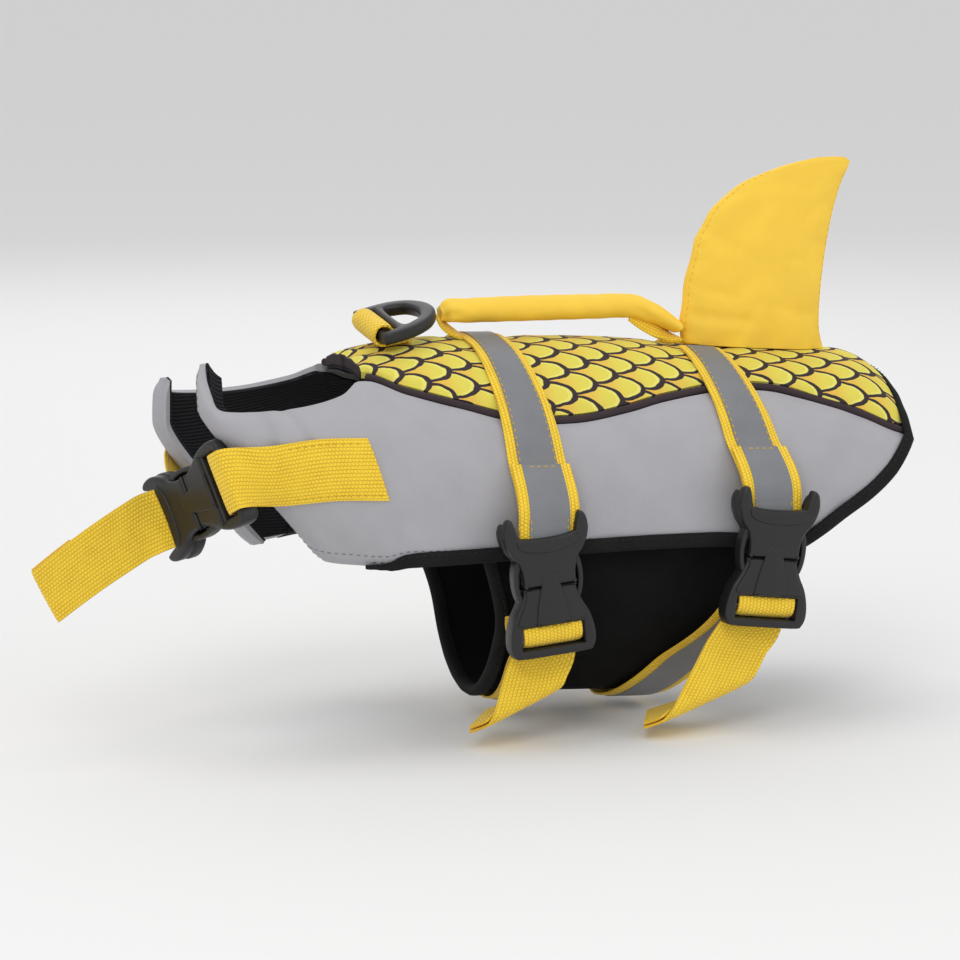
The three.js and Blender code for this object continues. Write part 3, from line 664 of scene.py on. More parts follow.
def material(name):
    """Each material is made once, when it is first asked for."""
    makers = {
        "grey": lambda: cloth_material("grey_cover", linear(170, 169, 174), tone=0.02),
        "print": print_material,
        "lining": lining_material,
        "piping": lambda: cloth_material("print_edge", linear(52, 38, 44)),
        "binding": lambda: cloth_material(
            "black_tape", linear(26, 26, 27), pitch=1.1, depth=0.12, tone=0.1, Specular_IOR_Level=0.2),
        "band": lambda: cloth_material(
            "black_cloth", linear(17, 17, 18), 0.9, tone=0.12, Specular_IOR_Level=0.15),
        # the second colour is the painted shade in the webbing's grooves
        "yellow": lambda: webbing_material("yellow_webbing", linear(255, 218, 52), linear(212, 158, 20)),
        "tape": lambda: cloth_material("reflective_tape", linear(122, 124, 129), 0.5, 1.4, 0.03, 0.04),
        "pad": lambda: cloth_material("yellow_cover", linear(252, 206, 66), 0.7, 0.6, 0.04, 0.03),
        "plastic": plastic_material,
        "yellow_thread": lambda: cloth_material("yellow_thread", linear(214, 172, 40)),
        "black_thread": lambda: cloth_material("black_thread", linear(22, 22, 23)),
        "grey_thread": lambda: cloth_material("grey_thread", linear(112, 111, 117)),
    }
    if name not in MATERIALS:
        MATERIALS[name] = makers[name]()
    return MATERIALS[name]


# Padded panels


def side_path(side, share):
    """Path length at a share of a side panel's rows, and the share past the neck."""
    start = THROAT[side]["from"]
    row = share * SIDE_ROWS
    neck = start + (WITHERS - start) * row / NECK_ROWS
    trunk = WITHERS + (TAIL - WITHERS) * (row - NECK_ROWS) / (SIDE_ROWS - NECK_ROWS)
    return np.where(row <= NECK_ROWS, neck, trunk), smooth((row - 13.4) / 0.6)


def side_grid(side, rows, columns, puff):
    sign = SIDES[side]
    u, v = grid(rows, columns)
    path, past_neck = side_path(side, u)
    top = read(UPPER, side, path) - SEAM * 0.9 * past_neck
    bottom = read(LOWER, side, path)
    angle = sign * angle_at(path, top + (bottom - top) * v)
    flat = on_form(path, angle)

    def out(level, full):
        if not full:
            return form(path, angle, level + np.zeros_like(path))
        from_top = (top - bottom) * v
        from_hem = (top - bottom) * (1 - v)
        from_throat = np.abs(path - THROAT[side]["from"])
        swell = puff * (1 - near_strap(path, angle)) * smooth(from_top / 14) * smooth(from_hem / 14)
        lift = swell * smooth((path - 20) / 50)
        lift = lift + edge_fall(from_top, 2.6, 1.1) + edge_fall(from_hem, 2.4, 0.9)
        lift = lift + edge_fall(from_throat, 4.2, 2.3) + edge_fall(from_top, 4.2, 1.4) * (1 - past_neck)
        lift = lift - 0.45 * np.exp(-(((from_throat - 7) / 0.9) ** 2)) * smooth((path - 2) / 4)
        lift = lift + creases(flat[..., 0], flat[..., 2], FLANK_CREASES[side])
        lift = lift + 0.18 * ripple(flat[..., 0], flat[..., 2], 9, 1.3 + sign) * (1 - near_strap(path, angle))
        return form(path, angle, level + lift)

    return out


class JACKET_OT_side_panels(bpy.types.Operator):
    """The two grey foam-filled flanks with their soft creases"""

    bl_idname = "jacket.side_panels"
    bl_label = "Side panels"

    def execute(self, context):
        sizes = context.scene.jacket_sizes
        for side in SIDES:
            out = side_grid(side, 190, 60, sizes.puff)
            panel = shell(f"side_panel_{side}", out(0, True), out(-PANEL, False))
            dress(panel, f"side_panel_{side}", "grey")
            face, under = out(0.12, True), out(-1, True)
            neck_row, hem_column = 12, -6
            seams = [
                (face[neck_row], unit(face[neck_row] - under[neck_row])),
                (face[2:, hem_column], unit(face[2:, hem_column] - under[2:, hem_column])),
            ]
            stitches(f"side_seams_{side}", seams, "grey_thread", thick=0.24)
        return {"FINISHED"}


def back_reach(path):
    return angle_at(path, read(UPPER, "near", path) + SEAM * 0.9)


BACK_CREASES = [
    (-58, -4, -44, -10, 2.0, 0.7),
    (-58, 6, -46, 12, 2.0, 0.7),
    (-59, 1, -50, 2, 1.8, -0.5),
    (-58, -14, -40, -22, 3.0, 0.6),
    (-58, 16, -40, 24, 3.0, 0.6),
    (-24, -8, -10, -16, 3.0, 0.5),
    (-24, 8, -8, 17, 3.0, 0.5),
    (20, -28, 70, -32, 6.0, 0.5),
    (22, 28, 74, 31, 6.0, 0.5),
    (84, -7, 76, -20, 3.0, 0.5),
    (84, 7, 77, 21, 3.0, 0.5),
    (158, -10, 170, -24, 5.0, 0.6),
    (158, 11, 170, 25, 5.0, 0.6),
    (130, -14, 140, -34, 6.0, 0.5),
    (132, 14, 141, 33, 6.0, 0.5),
]


class JACKET_OT_back_panel(bpy.types.Operator):
    """The printed foam-filled panel over the back"""

    bl_idname = "jacket.back_panel"
    bl_label = "Back panel"

    def execute(self, context):
        sizes = context.scene.jacket_sizes
        u, v = grid(170, 90)
        path = WITHERS + (TAIL - WITHERS) * u
        angle = back_reach(path) * (2 * v - 1)
        flat = on_form(path, angle)
        from_seam = (1 - np.abs(2 * v - 1)) * 40
        held = near_strap(path, angle)
        lift = sizes.puff * (1 - held) * smooth(from_seam / 12)
        lift = lift + edge_fall(from_seam, 2.4, 1.0) + edge_fall(path - WITHERS, 2.0, 0.9)
        lift = lift + creases(flat[..., 0], flat[..., 1], BACK_CREASES)
        lift = lift + 0.16 * ripple(flat[..., 0], flat[..., 1], 8, 0.4) * (1 - held)
        front = form(path, angle, lift)
        panel = shell("back_panel", front, form(path, angle, -PANEL + 0 * path))
        dress(panel, "back_panel", "print")
        return {"FINISHED"}


class JACKET_OT_linings(bpy.types.Operator):
    """The thin dark lining behind each panel"""

    bl_idname = "jacket.linings"
    bl_label = "Linings"

    def execute(self, context):
        for side, sign in SIDES.items():
            out = side_grid(side, 120, 30, 0)
            front = out(-CROWN, False)
            u, v = grid(120, 30)
            sag = 0.35 * ripple(front[..., 0], front[..., 2], 11, 2.2) - 0.2
            inner = front - outward(side_path(side, u)[0], sign * 1.4 + 0 * u) * sag[..., None] * 0.5
            lining = shell(f"lining_{side}", out(-PANEL - GAP, False), inner)
            dress(lining, f"lining_{side}", "lining")
            declare_sheet(lining, front)
        u, v = grid(110, 50)
        path = WITHERS + (TAIL - WITHERS) * u
        angle = back_reach(path) * (2 * v - 1)
        front = form(path, angle, -CROWN + 0 * path)
        lining = shell("lining_back", form(path, angle, -PANEL - GAP + 0 * path), front)
        dress(lining, "lining_back", "lining")
        declare_sheet(lining, front)
        return {"FINISHED"}


def ring_frames(centres):
    """Sideways and upward directions along a line of centres."""
    run = unit(np.gradient(centres, axis=0))
    side = unit(np.cross(np.array([0.0, 0.0, 1.0]), run))
    return side, np.cross(run, side)


class JACKET_OT_piping(bpy.types.Operator):
    """The dark rolled edge between print panel and flanks"""

    bl_idname = "jacket.piping"
    bl_label = "Piping"

    def execute(self, context):
        for side, sign in SIDES.items():
            path = np.linspace(WITHERS + 1, TAIL - 1, 170)
            centres = form(path, sign * angle_at(path, read(UPPER, side, path)), -PIPING - 0.1 + 0 * path)
            beside, up = ring_frames(centres)
            turn = np.linspace(0, TAU, 12, endpoint=False)[None, :, None]
            radius = (PIPING + 0.06 * np.sin(path * 1.9))[:, None, None]
            round_ = beside[:, None] * np.cos(turn) + up[:, None] * np.sin(turn)
            rings = centres[:, None] + radius * round_
            cord = loft(f"piping_{side}", rings)
            dress(cord, f"piping_{side}", "piping")
        return {"FINISHED"}


def folded_tape(leg_out, leg_in, front, back, thick, beyond):
    """Profile of a tape folded over an edge, as (beyond, out) pairs, outer face first."""
    outer, inner = [(-leg_out, front + thick * 0.5), (-leg_out + 0.5, front + thick)], []
    radius = min((front - back) / 2 + thick, 2.6)
    for corner, start in ((front + thick - radius, 90), (back - thick + radius, 0)):
        for k in range(5):
            turn = math.radians(start - 22.5 * k)
            outer.append((beyond + thick - radius + radius * math.cos(turn), corner + radius * math.sin(turn)))
            inner.append((beyond + thick - radius + (radius - thick) * math.cos(turn),
                          corner + (radius - thick) * math.sin(turn)))
    outer += [(-leg_in + 0.5, back - thick), (-leg_in, back - thick * 0.5)]
    inner = [(-leg_out, front)] + inner + [(-leg_in, back)]
    return np.array(outer + inner[::-1])


def sweep(at, away, normal, profile, wander=0.0):
    """Rings of a profile carried along an edge, its outer face slightly uneven."""
    rings = at[:, None] + away[:, None] * profile[None, :, :1] + normal[:, None] * profile[None, :, 1:]
    if wander:
        n = np.arange(len(at))
        wave = wander * (np.sin(n * 0.9) + 0.6 * np.sin(n * 0.37 + 1))
        rings += normal[:, None] * wave[:, None, None] * (profile[None, :, 1:] > 0)
    return rings


def hem_edge():
    """Path and angle along the bound edge: near hem, over the tail end, far hem."""
    row = np.linspace(6.2, SIDE_ROWS, 160)
    near, _ = side_path("near", row / SIDE_ROWS)
    far, _ = side_path("far", row / SIDE_ROWS)
    over = np.linspace(-1, 1, 50) * back_reach(TAIL)
    path = np.concatenate([near, np.full(50, TAIL), far[::-1]])
    low = angle_at(near, read(LOWER, "near", near)), angle_at(far, read(LOWER, "far", far))
    return path, np.concatenate([-low[0], over, low[1][::-1]])


class JACKET_OT_edge_binding(bpy.types.Operator):
    """Black tape folded over the hems and the tail end"""

    bl_idname = "jacket.edge_binding"
    bl_label = "Edge binding"

    def execute(self, context):
        path, angle = hem_edge()
        at, normal = on_form(path, angle), outward(path, angle)
        run = unit(np.gradient(at, axis=0))
        for _ in range(3):
            run[1:-1] = unit(run[:-2] + run[1:-1] + run[2:])
        away = unit(np.cross(run, normal))
        profile = folded_tape(BINDING_LEG, BINDING_LEG, LAP, -CROWN - LAP, BINDING, GAP)
        rings = sweep(at, away, normal, profile, 0.12)
        steps = lengths(at)
        narrow = 0.65 * (1 - smooth(np.minimum(steps, steps[-1] - steps) / 22))
        reach = ((rings - at[:, None]) * away[:, None]).sum(-1) * narrow[:, None]
        tape = loft("edge_binding", rings - away[:, None] * reach[..., None])
        dress(tape, "edge_binding", "binding")
        line = at - away * (BINDING_LEG - 1.3) + normal * (LAP + BINDING + 0.15)
        stitches("edge_binding_stitches", [(line, normal)], "black_thread")
        return {"FINISHED"}


def stitches(name, lines, thread, pitch=3.0, length=2.1, thick=0.32):
    """A row of short raised stitches along each line of points with its normals."""
    points, faces = [], []
    for line, normals in lines:
        steps = lengths(line)
        at = np.arange(pitch, steps[-1] - length, pitch)
        if len(at) == 0:
            continue
        pick = [np.stack([np.interp(at + d, steps, line[:, k]) for k in range(3)], 1) for d in (0, length)]
        normal = unit(np.stack([np.interp(at, steps, normals[:, k]) for k in range(3)], 1))
        side = unit(np.cross(pick[1] - pick[0], normal)) * thick
        middle = (pick[0] + pick[1]) / 2
        corners = [pick[0], middle + side, pick[1], middle - side, middle + normal * thick * 0.9]
        start = sum(len(p) for p in points)
        points.append(np.stack(corners, 1).reshape(-1, 3))
        for k in range(len(at)):
            b = start + 5 * k
            faces += [(b, b + 1, b + 4), (b + 1, b + 2, b + 4), (b + 2, b + 3, b + 4), (b + 3, b, b + 4)]
            faces.append((b + 3, b + 2, b + 1, b))
    obj = make_mesh(name, np.concatenate(points), faces, np.zeros((sum(len(p) for p in points), 2)))
    paint(obj, material(thread))


# Belly band


def band_front(angle):
    return 148 - 11 * smooth((np.cos(angle) + 0.6) / 0.6)


def band_rear(angle):
    return 230 + 38 * smooth((np.cos(angle) + 1) / 0.8)


BAND_CREASES = [
    (60, -70, 48, -110, 5.0, 0.5),
    (20, -62, 24, -84, 5.0, 0.4),
    (34, -106, 62, -104, 1.2, 0.35),
    (0, -92, 10, -124, 5.0, 0.4),
    (84, -74, 70, -96, 5.0, 0.4),
]


class JACKET_OT_belly_band(bpy.types.Operator):
    """The black band under the belly with a folded tape on both free edges"""

    bl_idname = "jacket.belly_band"
    bl_label = "Belly band"

    def execute(self, context):
        u, v = grid(60, 150)
        angle = math.pi + BAND_REACH * (2 * v - 1)
        path = band_front(angle) + (band_rear(angle) - band_front(angle)) * u
        flat = on_form(path, angle)
        lift = creases(flat[..., 0], flat[..., 2], BAND_CREASES)
        lift = lift + 0.2 * ripple(flat[..., 0], flat[..., 2] + flat[..., 1], 10, 0.7)
        lift = lift * np.sin(math.pi * u) ** 0.5
        front = form(path, angle, BAND_OUT + lift)
        band = shell("belly_band", front, form(path, angle, BAND_OUT - BAND + 0.5 * lift))
        dress(band, "belly_band", "band")
        declare_sheet(band, front)
        for end, edge_of, beyond in (("front", band_front, -1.0), ("rear", band_rear, 1.0)):
            angle = math.pi + BAND_REACH * np.linspace(-1, 1, 110)
            path = edge_of(angle)
            at, normal = form(path, angle, BAND_OUT - BAND / 2 + 0 * path), outward(path, angle)
            away = np.broadcast_to(np.array([beyond, 0.0, 0.0]), at.shape)
            half = BAND / 2 + GAP
            profile = folded_tape(4, 4, half, -half, BINDING, GAP)
            tape = loft(f"belly_binding_{end}", sweep(at, away, normal, profile, 0.08))
            dress(tape, f"belly_binding_{end}", "binding")
            line = at - away * 2.6 + normal * (half + BINDING + 0.12)
            stitches(f"belly_binding_{end}_stitches", [(line, normal)], "black_thread")
        return {"FINISHED"}


# Webbing

ON_PANEL = GAP + WEBBING


def rounded(v, thick):
    """Thickness across a webbing, thinner at its two selvedges."""
    return thick * (1 - 0.45 * np.abs(2 * v - 1) ** 8)


def lay(name, place, rows, share, low, high, look, columns=12):
    """A strip laid on the form; place(u, v, share) gives path, angle and height."""
    u, v = grid(rows, columns)
    path, angle, height = place(u, v, share)
    middle = (low + high) / 2
    front = form(path, angle, height + middle + rounded(v, high - middle))
    back = form(path, angle, height + middle - rounded(v, middle - low))
    obj = shell(name, front, back)
    paint(obj, material(look))
    return obj, front


def lay_tape(name, place, rows, low, high):
    """A reflective tape along the middle of a strap."""
    return lay(name, place, rows, TAPE_SHARE, low, high, "tape", 6)


def back_strap(at, start, end, rise_from):
    """Place of a strap over the back; its low near end rises to the buckle."""

    def place(u, v, share):
        angle = np.radians(start + (end - start) * u)
        half = STRAP_HALF_TOP + (STRAP_HALF - STRAP_HALF_TOP) * smooth(np.abs(angle) / 1.5)
        rise = 8.6 * smooth((-np.degrees(angle) - rise_from) / 22) if rise_from else 0 * u
        return at(angle) + half * share * (2 * v - 1), angle, rise + 0.12 * np.sin(np.degrees(angle) * 0.21)

    return place


class JACKET_OT_straps(bpy.types.Operator):
    """Webbing over the back and under the belly, each with a grey tape along it"""

    bl_idname = "jacket.straps"
    bl_label = "Straps"

    def execute(self, context):
        lines = []
        for name, at, start, end, rise_from, doubled in (
            ("1", strap_1_at, -94, 94, 66, 0.128),
            ("2_near", strap_2_at, -89, -11, 60, 0.3),
            ("2_far", strap_2_at, 11, 94, 0, 0),
        ):
            place = back_strap(at, start, end, rise_from)
            rows = int((end - start) / 1.2)
            web, front = lay(f"strap_{name}", place, rows, 1, GAP, ON_PANEL, "yellow")
            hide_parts(f"strap_{name}")
            declare_sheet(web, front)
            tape, front = lay_tape(f"tape_{name}", place, rows, ON_PANEL + CLEAR, ON_PANEL + TAPE)
            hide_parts(f"tape_{name}")
            declare_sheet(tape, front)
            if doubled:
                lines.append(self.doubling(name, place, doubled))
            u = np.linspace(0, 1, rows + 1)
            for share in (-0.62, 0.62):
                path, angle, height = place(u, 0.5 + 0.5 * np.sign(share) + 0 * u, abs(share))
                lines.append((form(path, angle, height + ON_PANEL + TAPE + 0.05), outward(path, angle)))
        for name, at in (
            ("1", lambda angle: 160 - 5 * (1 + np.cos(angle)) + 7 * smooth((-np.degrees(angle) - 115) / 16)),
            ("2", lambda angle: 217 + 58 * (1 + np.cos(angle))),
        ):
            def place(u, v, share):
                angle = np.radians(-114 - 128 * u)
                rise = 9.4 * smooth(1 - 128 * u / 26)
                return at(angle) + STRAP_HALF * share * (2 * v - 1), angle, ON_BAND + rise

            web, front = lay(f"belly_strap_{name}", place, 110, 1, 0, WEBBING, "yellow")
            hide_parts(f"belly_strap_{name}")
            declare_sheet(web, front)
            tape, front = lay_tape(f"belly_tape_{name}", place, 110, WEBBING + CLEAR, WEBBING + TAPE)
            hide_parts(f"belly_tape_{name}")
            declare_sheet(tape, front)
        stitches("strap_stitches", lines, "yellow_thread")
        return {"FINISHED"}

    def doubling(self, name, place, reach):
        """The end folded up over the strap, its tape, and the row of stitches that holds it."""
        low = ON_PANEL + TAPE + 0.05

        def folded_back(u, v, share):
            path, angle, height = place(0.02 + (reach - 0.02) * u, v, share)
            return path + 0.5 * u, angle, height - 2.0 * (1 - u) ** 3

        ply, front = lay(f"strap_{name}_doubling", folded_back, 24, 1.02, low, low + 1.0, "yellow")
        declare_sheet(ply, front)
        tape, front = lay_tape(f"tape_{name}_doubling", folded_back, 24, low + 1.05, low + 1.3)
        declare_sheet(tape, front)
        v = np.linspace(0.03, 0.97, 20)
        path, angle, height = folded_back(0 * v + 0.96, v, 0.72)
        return form(path, angle, height + low + 1.35), outward(path, angle)


def ribbon(stations, thickness, per_step=8, columns=10, curl=0.0):
    """Front and back grids of a free strip through stations x, y, z, wx, wy, wz, half."""
    rows = np.array(stations, float)
    keys = lengths(rows[:, :3])
    named = {n: rows[:, k] for k, n in enumerate("x y z wx wy wz half".split())}
    named["path"] = keys
    at = np.linspace(0, keys[-1], per_step * (len(rows) - 1) + 1)
    centre = np.stack([read(named, n, at) for n in "xyz"], 1)
    wide = np.stack([read(named, n, at) for n in ("wx", "wy", "wz")], 1)
    for _ in range(4):
        centre[1:-1] = (centre[:-2] + 2 * centre[1:-1] + centre[2:]) / 4
        wide[1:-1] = (wide[:-2] + 2 * wide[1:-1] + wide[2:]) / 4
    run = unit(np.gradient(centre, axis=0))
    wide = unit(wide - run * (wide * run).sum(1, keepdims=True))
    face = np.cross(run, wide)
    v = np.linspace(-1, 1, columns + 1)
    half = read(named, "half", at)[:, None, None]
    middle = centre[:, None] + wide[:, None] * half * v[None, :, None]
    middle = middle + face[:, None] * (curl * (v**2 - 0.4))[None, :, None]
    depth = (rounded((v + 1) / 2, thickness / 2))[None, :, None]
    return middle + face[:, None] * depth, middle - face[:, None] * depth


# Fin and handle

FIN = table("rise lead trail half", [
    (0, 89.5, 154, 7.5),
    (8, 89, 152, 8.5),
    (22, 90.6, 152.4, 8.5),
    (38, 93.9, 154.4, 7.6),
    (54, 101.2, 157.6, 6.4),
    (66, 114.7, 161.4, 5),
    (73, 132.5, 164.8, 3.8),
    (75.6, 143.5, 165.2, 3),
    (77, 151.5, 162.4, 2.2),
])

FIN_CREASES = [
    (95, 12, 116, 9, 2.6, 0.9),
    (92, 24, 108, 20, 2.6, 0.6),
    (146, 10, 132, 14, 3.0, 0.8),
    (150, 30, 140, 34, 3.0, 0.5),
    (112, 3, 120, 16, 3.0, 0.7),
    (128, 2, 126, 14, 3.0, 0.6),
    (104, 44, 116, 38, 3.0, 0.5),
    (152, 58, 142, 50, 3.0, 0.5),
    (126, 62, 132, 50, 3.0, 0.5),
]


class JACKET_OT_fin(bpy.types.Operator):
    """The padded fin, two faces sewn together round its edge"""

    bl_idname = "jacket.fin"
    bl_label = "Fin"

    def execute(self, context):
        u, v = grid(90, 70)
        v = 0.5 - 0.5 * np.cos(math.pi * v)
        rise = 77 * u
        lead, trail = read(FIN, "lead", rise, "rise"), read(FIN, "trail", rise, "rise")
        lead = lead + 0.45 * np.sin(rise * 0.42 + 1.2 * np.sin(rise * 0.11)) * np.sin(math.pi * u)
        x = lead + (trail - lead) * v
        foot = read(BODY, "crown", x + PATH_AT_ORIGIN) + 0.6
        z = foot * (1 - u) ** 2 + rise - u
        to_tip = np.minimum(1, 0.35 + np.sqrt(np.maximum(1 - u, 0)) * 1.4)
        swell = np.sqrt(np.maximum(4 * v * (1 - v), 0)) * to_tip
        edge = np.minimum(x - lead, trail - x)
        pucker = 0.22 * np.sin(z * 0.9 + 0.6 * np.sin(z * 0.31))
        pucker = pucker * np.exp(-((edge / 4.0) ** 2)) * smooth(edge / 0.8)
        faces = []
        for sign in (1, -1):
            dent = creases(x, z, FIN_CREASES) * smooth(edge / 5)
            dent = dent + 0.25 * ripple(x + 3 * sign, z, 8, 1.9) * smooth(edge / 6)
            y = 0.7 + (read(FIN, "half", rise, "rise") - 0.7) * swell + pucker + dent
            faces.append(np.stack([x, sign * np.maximum(y, 0.6), z], -1))
        fin = shell("fin", faces[0], faces[1], sharp=80)
        dress(fin, "fin", "pad")
        lines = []
        for face, sign in zip(faces, (1, -1)):
            for column in (6, -7):
                line = face[2:-6, column]
                lines.append((line, np.broadcast_to(np.array([0.0, sign, 0.0]), line.shape)))
        stitches("fin_stitches", lines, "yellow_thread", thick=0.22)
        return {"FINISHED"}


HANDLE = table("x z wide tall", [
    (-17, 16.8, 3.2, 3),
    (-14, 17.3, 6, 4.6),
    (-4, 17.4, 6.6, 5),
    (22, 17.3, 6.8, 5.2),
    (50, 16.9, 6.8, 5.1),
    (66, 16.4, 6.6, 4.9),
    (76, 13.2, 6.8, 4.2),
    (83, 9.4, 7.2, 3.4),
    (87, 6.9, 7.4, 2.6),
])

LEG_FRONT = [
    (-18.6, 0.4, 15.2, 0.1, 1, 0.3, 3.4),
    (-16.2, 0.4, 12, 0.3, 1, 0.5, 3.6),
    (-12, 0.2, 8.8, 0.2, 1, 0.35, 4.4),
    (-7, 0, 6.3, 0, 1, 0.1, 5.6),
    (-1.5, 0, 4.1, 0, 1, 0, 6.8),
]
LEG_REAR = [
    (66, -1, 13, 0.1, 0.6, 0.75, 3.4),
    (71, -1.5, 10, 0.1, 0.5, 0.85, 3.8),
    (76, -1.5, 7.2, 0.1, 0.55, 0.8, 4.2),
    (81, -1, 4.9, 0.1, 0.8, 0.5, 5.2),
    (86, 0, 3.2, 0, 1, 0.1, 6.8),
]


class JACKET_OT_handle(bpy.types.Operator):
    """The padded grab handle, gathered at its front end, and its two webbing legs"""

    bl_idname = "jacket.handle"
    bl_label = "Grab handle"

    def execute(self, context):
        x = np.linspace(-17.6, 87, 150)
        wide, tall, z = (read(HANDLE, n, x, "x") for n in ("wide", "tall", "z"))
        tilt = np.arctan(np.gradient(z, x))
        turn = np.linspace(0, TAU, 40, endpoint=False)
        gather = np.exp(-((x + 17.6) / 7) ** 2) + 0.55 * np.exp(-((x - 71) / 6) ** 2)
        fold = 0.1 * gather[:, None] * np.sin(5 * turn[None, :] + 0.9 * np.sin(x[:, None] * 0.4))
        fold = fold + 0.035 * np.sin(x[:, None] * 0.55 + 2 * np.sin(turn[None, :])) * (0.3 + gather[:, None])
        seam = -0.1 * np.exp(-((turn[None, :] - 5.35) / 0.13) ** 2)
        seam = seam + 0.05 * np.exp(-((turn[None, :] - 5.15) / 0.15) ** 2)
        size = 1 + fold + seam
        up = tall[:, None] * np.sin(turn) * size
        rings = np.stack(
            [x[:, None] - up * np.sin(tilt)[:, None], wide[:, None] * np.cos(turn) * size,
             z[:, None] + up * np.cos(tilt)[:, None]], -1)
        handle = loft("handle", rings, sharp=80)
        dress(handle, "handle", "pad")
        for name, rows in (("front", LEG_FRONT), ("rear", LEG_REAR)):
            front, back = ribbon(rows, WEBBING)
            leg = shell(f"handle_leg_{name}", front, back)
            dress(leg, f"handle_leg_{name}", "yellow")
            declare_sheet(leg, front)
        return {"FINISHED"}


# Moulded pieces


def rounded_loop(points, steps=5):
    """A closed outline through points; a third value of 1 keeps that corner sharp."""
    p = np.array([q[:2] for q in points], float)
    hard = [len(q) > 2 for q in points]
    loop = []
    for i in range(len(p)):
        a, b = p[i], p[(i + 1) % len(p)]
        slope_a = np.zeros(2) if hard[i] else (b - p[i - 1]) / 2
        slope_b = np.zeros(2) if hard[(i + 1) % len(p)] else (p[(i + 2) % len(p)] - a) / 2
        loop += [hermite(k / steps, a, slope_a, b, slope_b) for k in range(steps)]
    return loop


def mirrored(points):
    """The right half of an outline, top to bottom, and its mirror image back up."""
    return points + [(-q[0], *q[1:]) for q in reversed(points) if q[0] > 0.01]


def plate(outline, low, high, bevel, holes=(), steps=5):
    """A flat moulding with rounded edges, in millimetres, as mesh data."""
    curve = bpy.data.curves.new("plate", "CURVE")
    curve.dimensions = "2D"
    curve.fill_mode = "BOTH"
    curve.extrude = ((high - low) / 2 - bevel) * MM
    curve.bevel_depth = bevel * MM
    curve.bevel_resolution = 2
    curve.offset = -bevel * MM
    for loop in (outline, *holes):
        points = rounded_loop(loop, steps)
        spline = curve.splines.new("POLY")
        spline.points.add(len(points) - 1)
        spline.use_cyclic_u = True
        for target, q in zip(spline.points, points):
            target.co = (q[0] * MM, q[1] * MM, 0, 1)
    holder = bpy.data.objects.new("plate", curve)
    bpy.context.scene.collection.objects.link(holder)
    bpy.context.view_layer.update()
    evaluated = holder.evaluated_get(bpy.context.evaluated_depsgraph_get())
    mesh = bpy.data.meshes.new_from_object(evaluated)
    mesh.transform(Matrix.Translation((0, 0, (low + high) / 2 * MM)))
    bpy.data.objects.remove(holder)
    bpy.data.curves.remove(curve)
    return mesh


def moulded(name, plates, matrix, body="jacket"):
    """One object from several plates, set in its place."""
    bm = bmesh.new()
    for mesh in plates:
        bm.from_mesh(mesh)
        bpy.data.meshes.remove(mesh)
    bmesh.ops.remove_doubles(bm, verts=bm.verts, dist=1e-6)
    bmesh.ops.recalc_face_normals(bm, faces=bm.faces)
    mesh = bpy.data.meshes.new(name)
    bm.to_mesh(mesh)
    bm.free()
    mesh.transform(matrix)
    mesh.shade_smooth()
    mesh.set_sharp_from_angle(angle=math.radians(35))
    obj = bpy.data.objects.new(name, mesh)
    bpy.context.scene.collection.objects.link(obj)
    paint(obj, material("plastic"), body)
    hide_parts(name)


def box_loop(x0, y0, x1, y1):
    return [(x0, y0, 1), (x1, y0, 1), (x1, y1, 1), (x0, y1, 1)]


# Right half of each outline, from the middle of the top down to the waist
EAR_BACK = [
    (0, 18.5, 1), (12.4, 18.5, 1), (13.5, 21.5), (14.8, 25), (16.6, 26), (18, 23.6), (18.2, 21),
    (17.6, 18), (15.6, 13.8), (12.9, 10.4), (11.5, 6), (11.2, 1.6), (10.8, 0.2), (0, 0.2, 1)]
EAR_FRONT = [
    (0, 19.4), (7, 19.7), (12, 20.6, 1), (13.3, 26), (14.6, 28.4), (16.8, 27), (17.8, 22.5),
    (17.1, 18), (15.2, 13.8), (12.5, 10.4), (11.2, 6), (10.9, 1.6), (10.6, 0.3), (0, 0.3, 1)]
COLLAR = [(0, 18.9), (7, 19.2), (12.2, 19.6), (13, 18.2), (11.8, 16), (7.4, 14.4), (0, 13.7)]
FRAME = [
    (0, -0.2, 1), (10.8, -0.2), (11.2, -1.8), (12, -4.4), (13.6, -8), (15.8, -12), (17.2, -16),
    (18, -20.5), (17.9, -24.5), (16.6, -27.4), (14.2, -28.6), (0, -28.8)]
SHOULDER = [
    (0, -0.8, 1), (10, -0.9), (10.3, -3), (11.4, -6.6), (13.3, -10.4), (14.8, -14),
    (13.6, -15.2, 1), (0, -15.2, 1)]
ARCH = [(0, 5.4), (2, 4.9), (3.6, 2), (5.2, -3.6), (6.4, -9.4), (7.2, -15.6, 1), (0, -15.6, 1)]
ARM = [
    (11.4, 12.4), (13.4, 10.4), (14.5, 6), (14.6, 1), (13.9, -3.4), (12.6, -6.4), (11.3, -5),
    (12.2, -1.6), (12.5, 2.4), (12, 6.4), (10.6, 9.6)]


def ear_half():
    """The half with two ears, a webbing notch between them and an arched collar."""
    return [
        plate(mirrored(EAR_BACK), -5, 0.3, 1.0),
        plate(mirrored(EAR_FRONT), -0.4, 5, 1.3),
        plate(mirrored(COLLAR), 3, 5.7, 0.7),
    ]


def frame_half():
    """The half with a tall webbing slot and an arched tongue."""
    return [
        plate(mirrored(FRAME), -4.8, 3.7, 1.2, [box_loop(-13.3, -25.2, 13.3, -16.4)]),
        plate(mirrored(SHOULDER), 2.2, 4.5, 0.7),
        plate(mirrored(ARCH), 3, 5.3, 0.8),
        plate(ARM, -3.2, 3, 0.7),
        plate([(-x, y) for x, y in ARM], -3.2, 3, 0.7),
    ]


def side_frame(x, y, z, turn):
    place = Matrix.Translation((x * MM, y * MM, z * MM))
    return place @ Matrix.Rotation(math.pi / 2, 4, "X") @ Matrix.Rotation(math.radians(turn), 4, "Z")


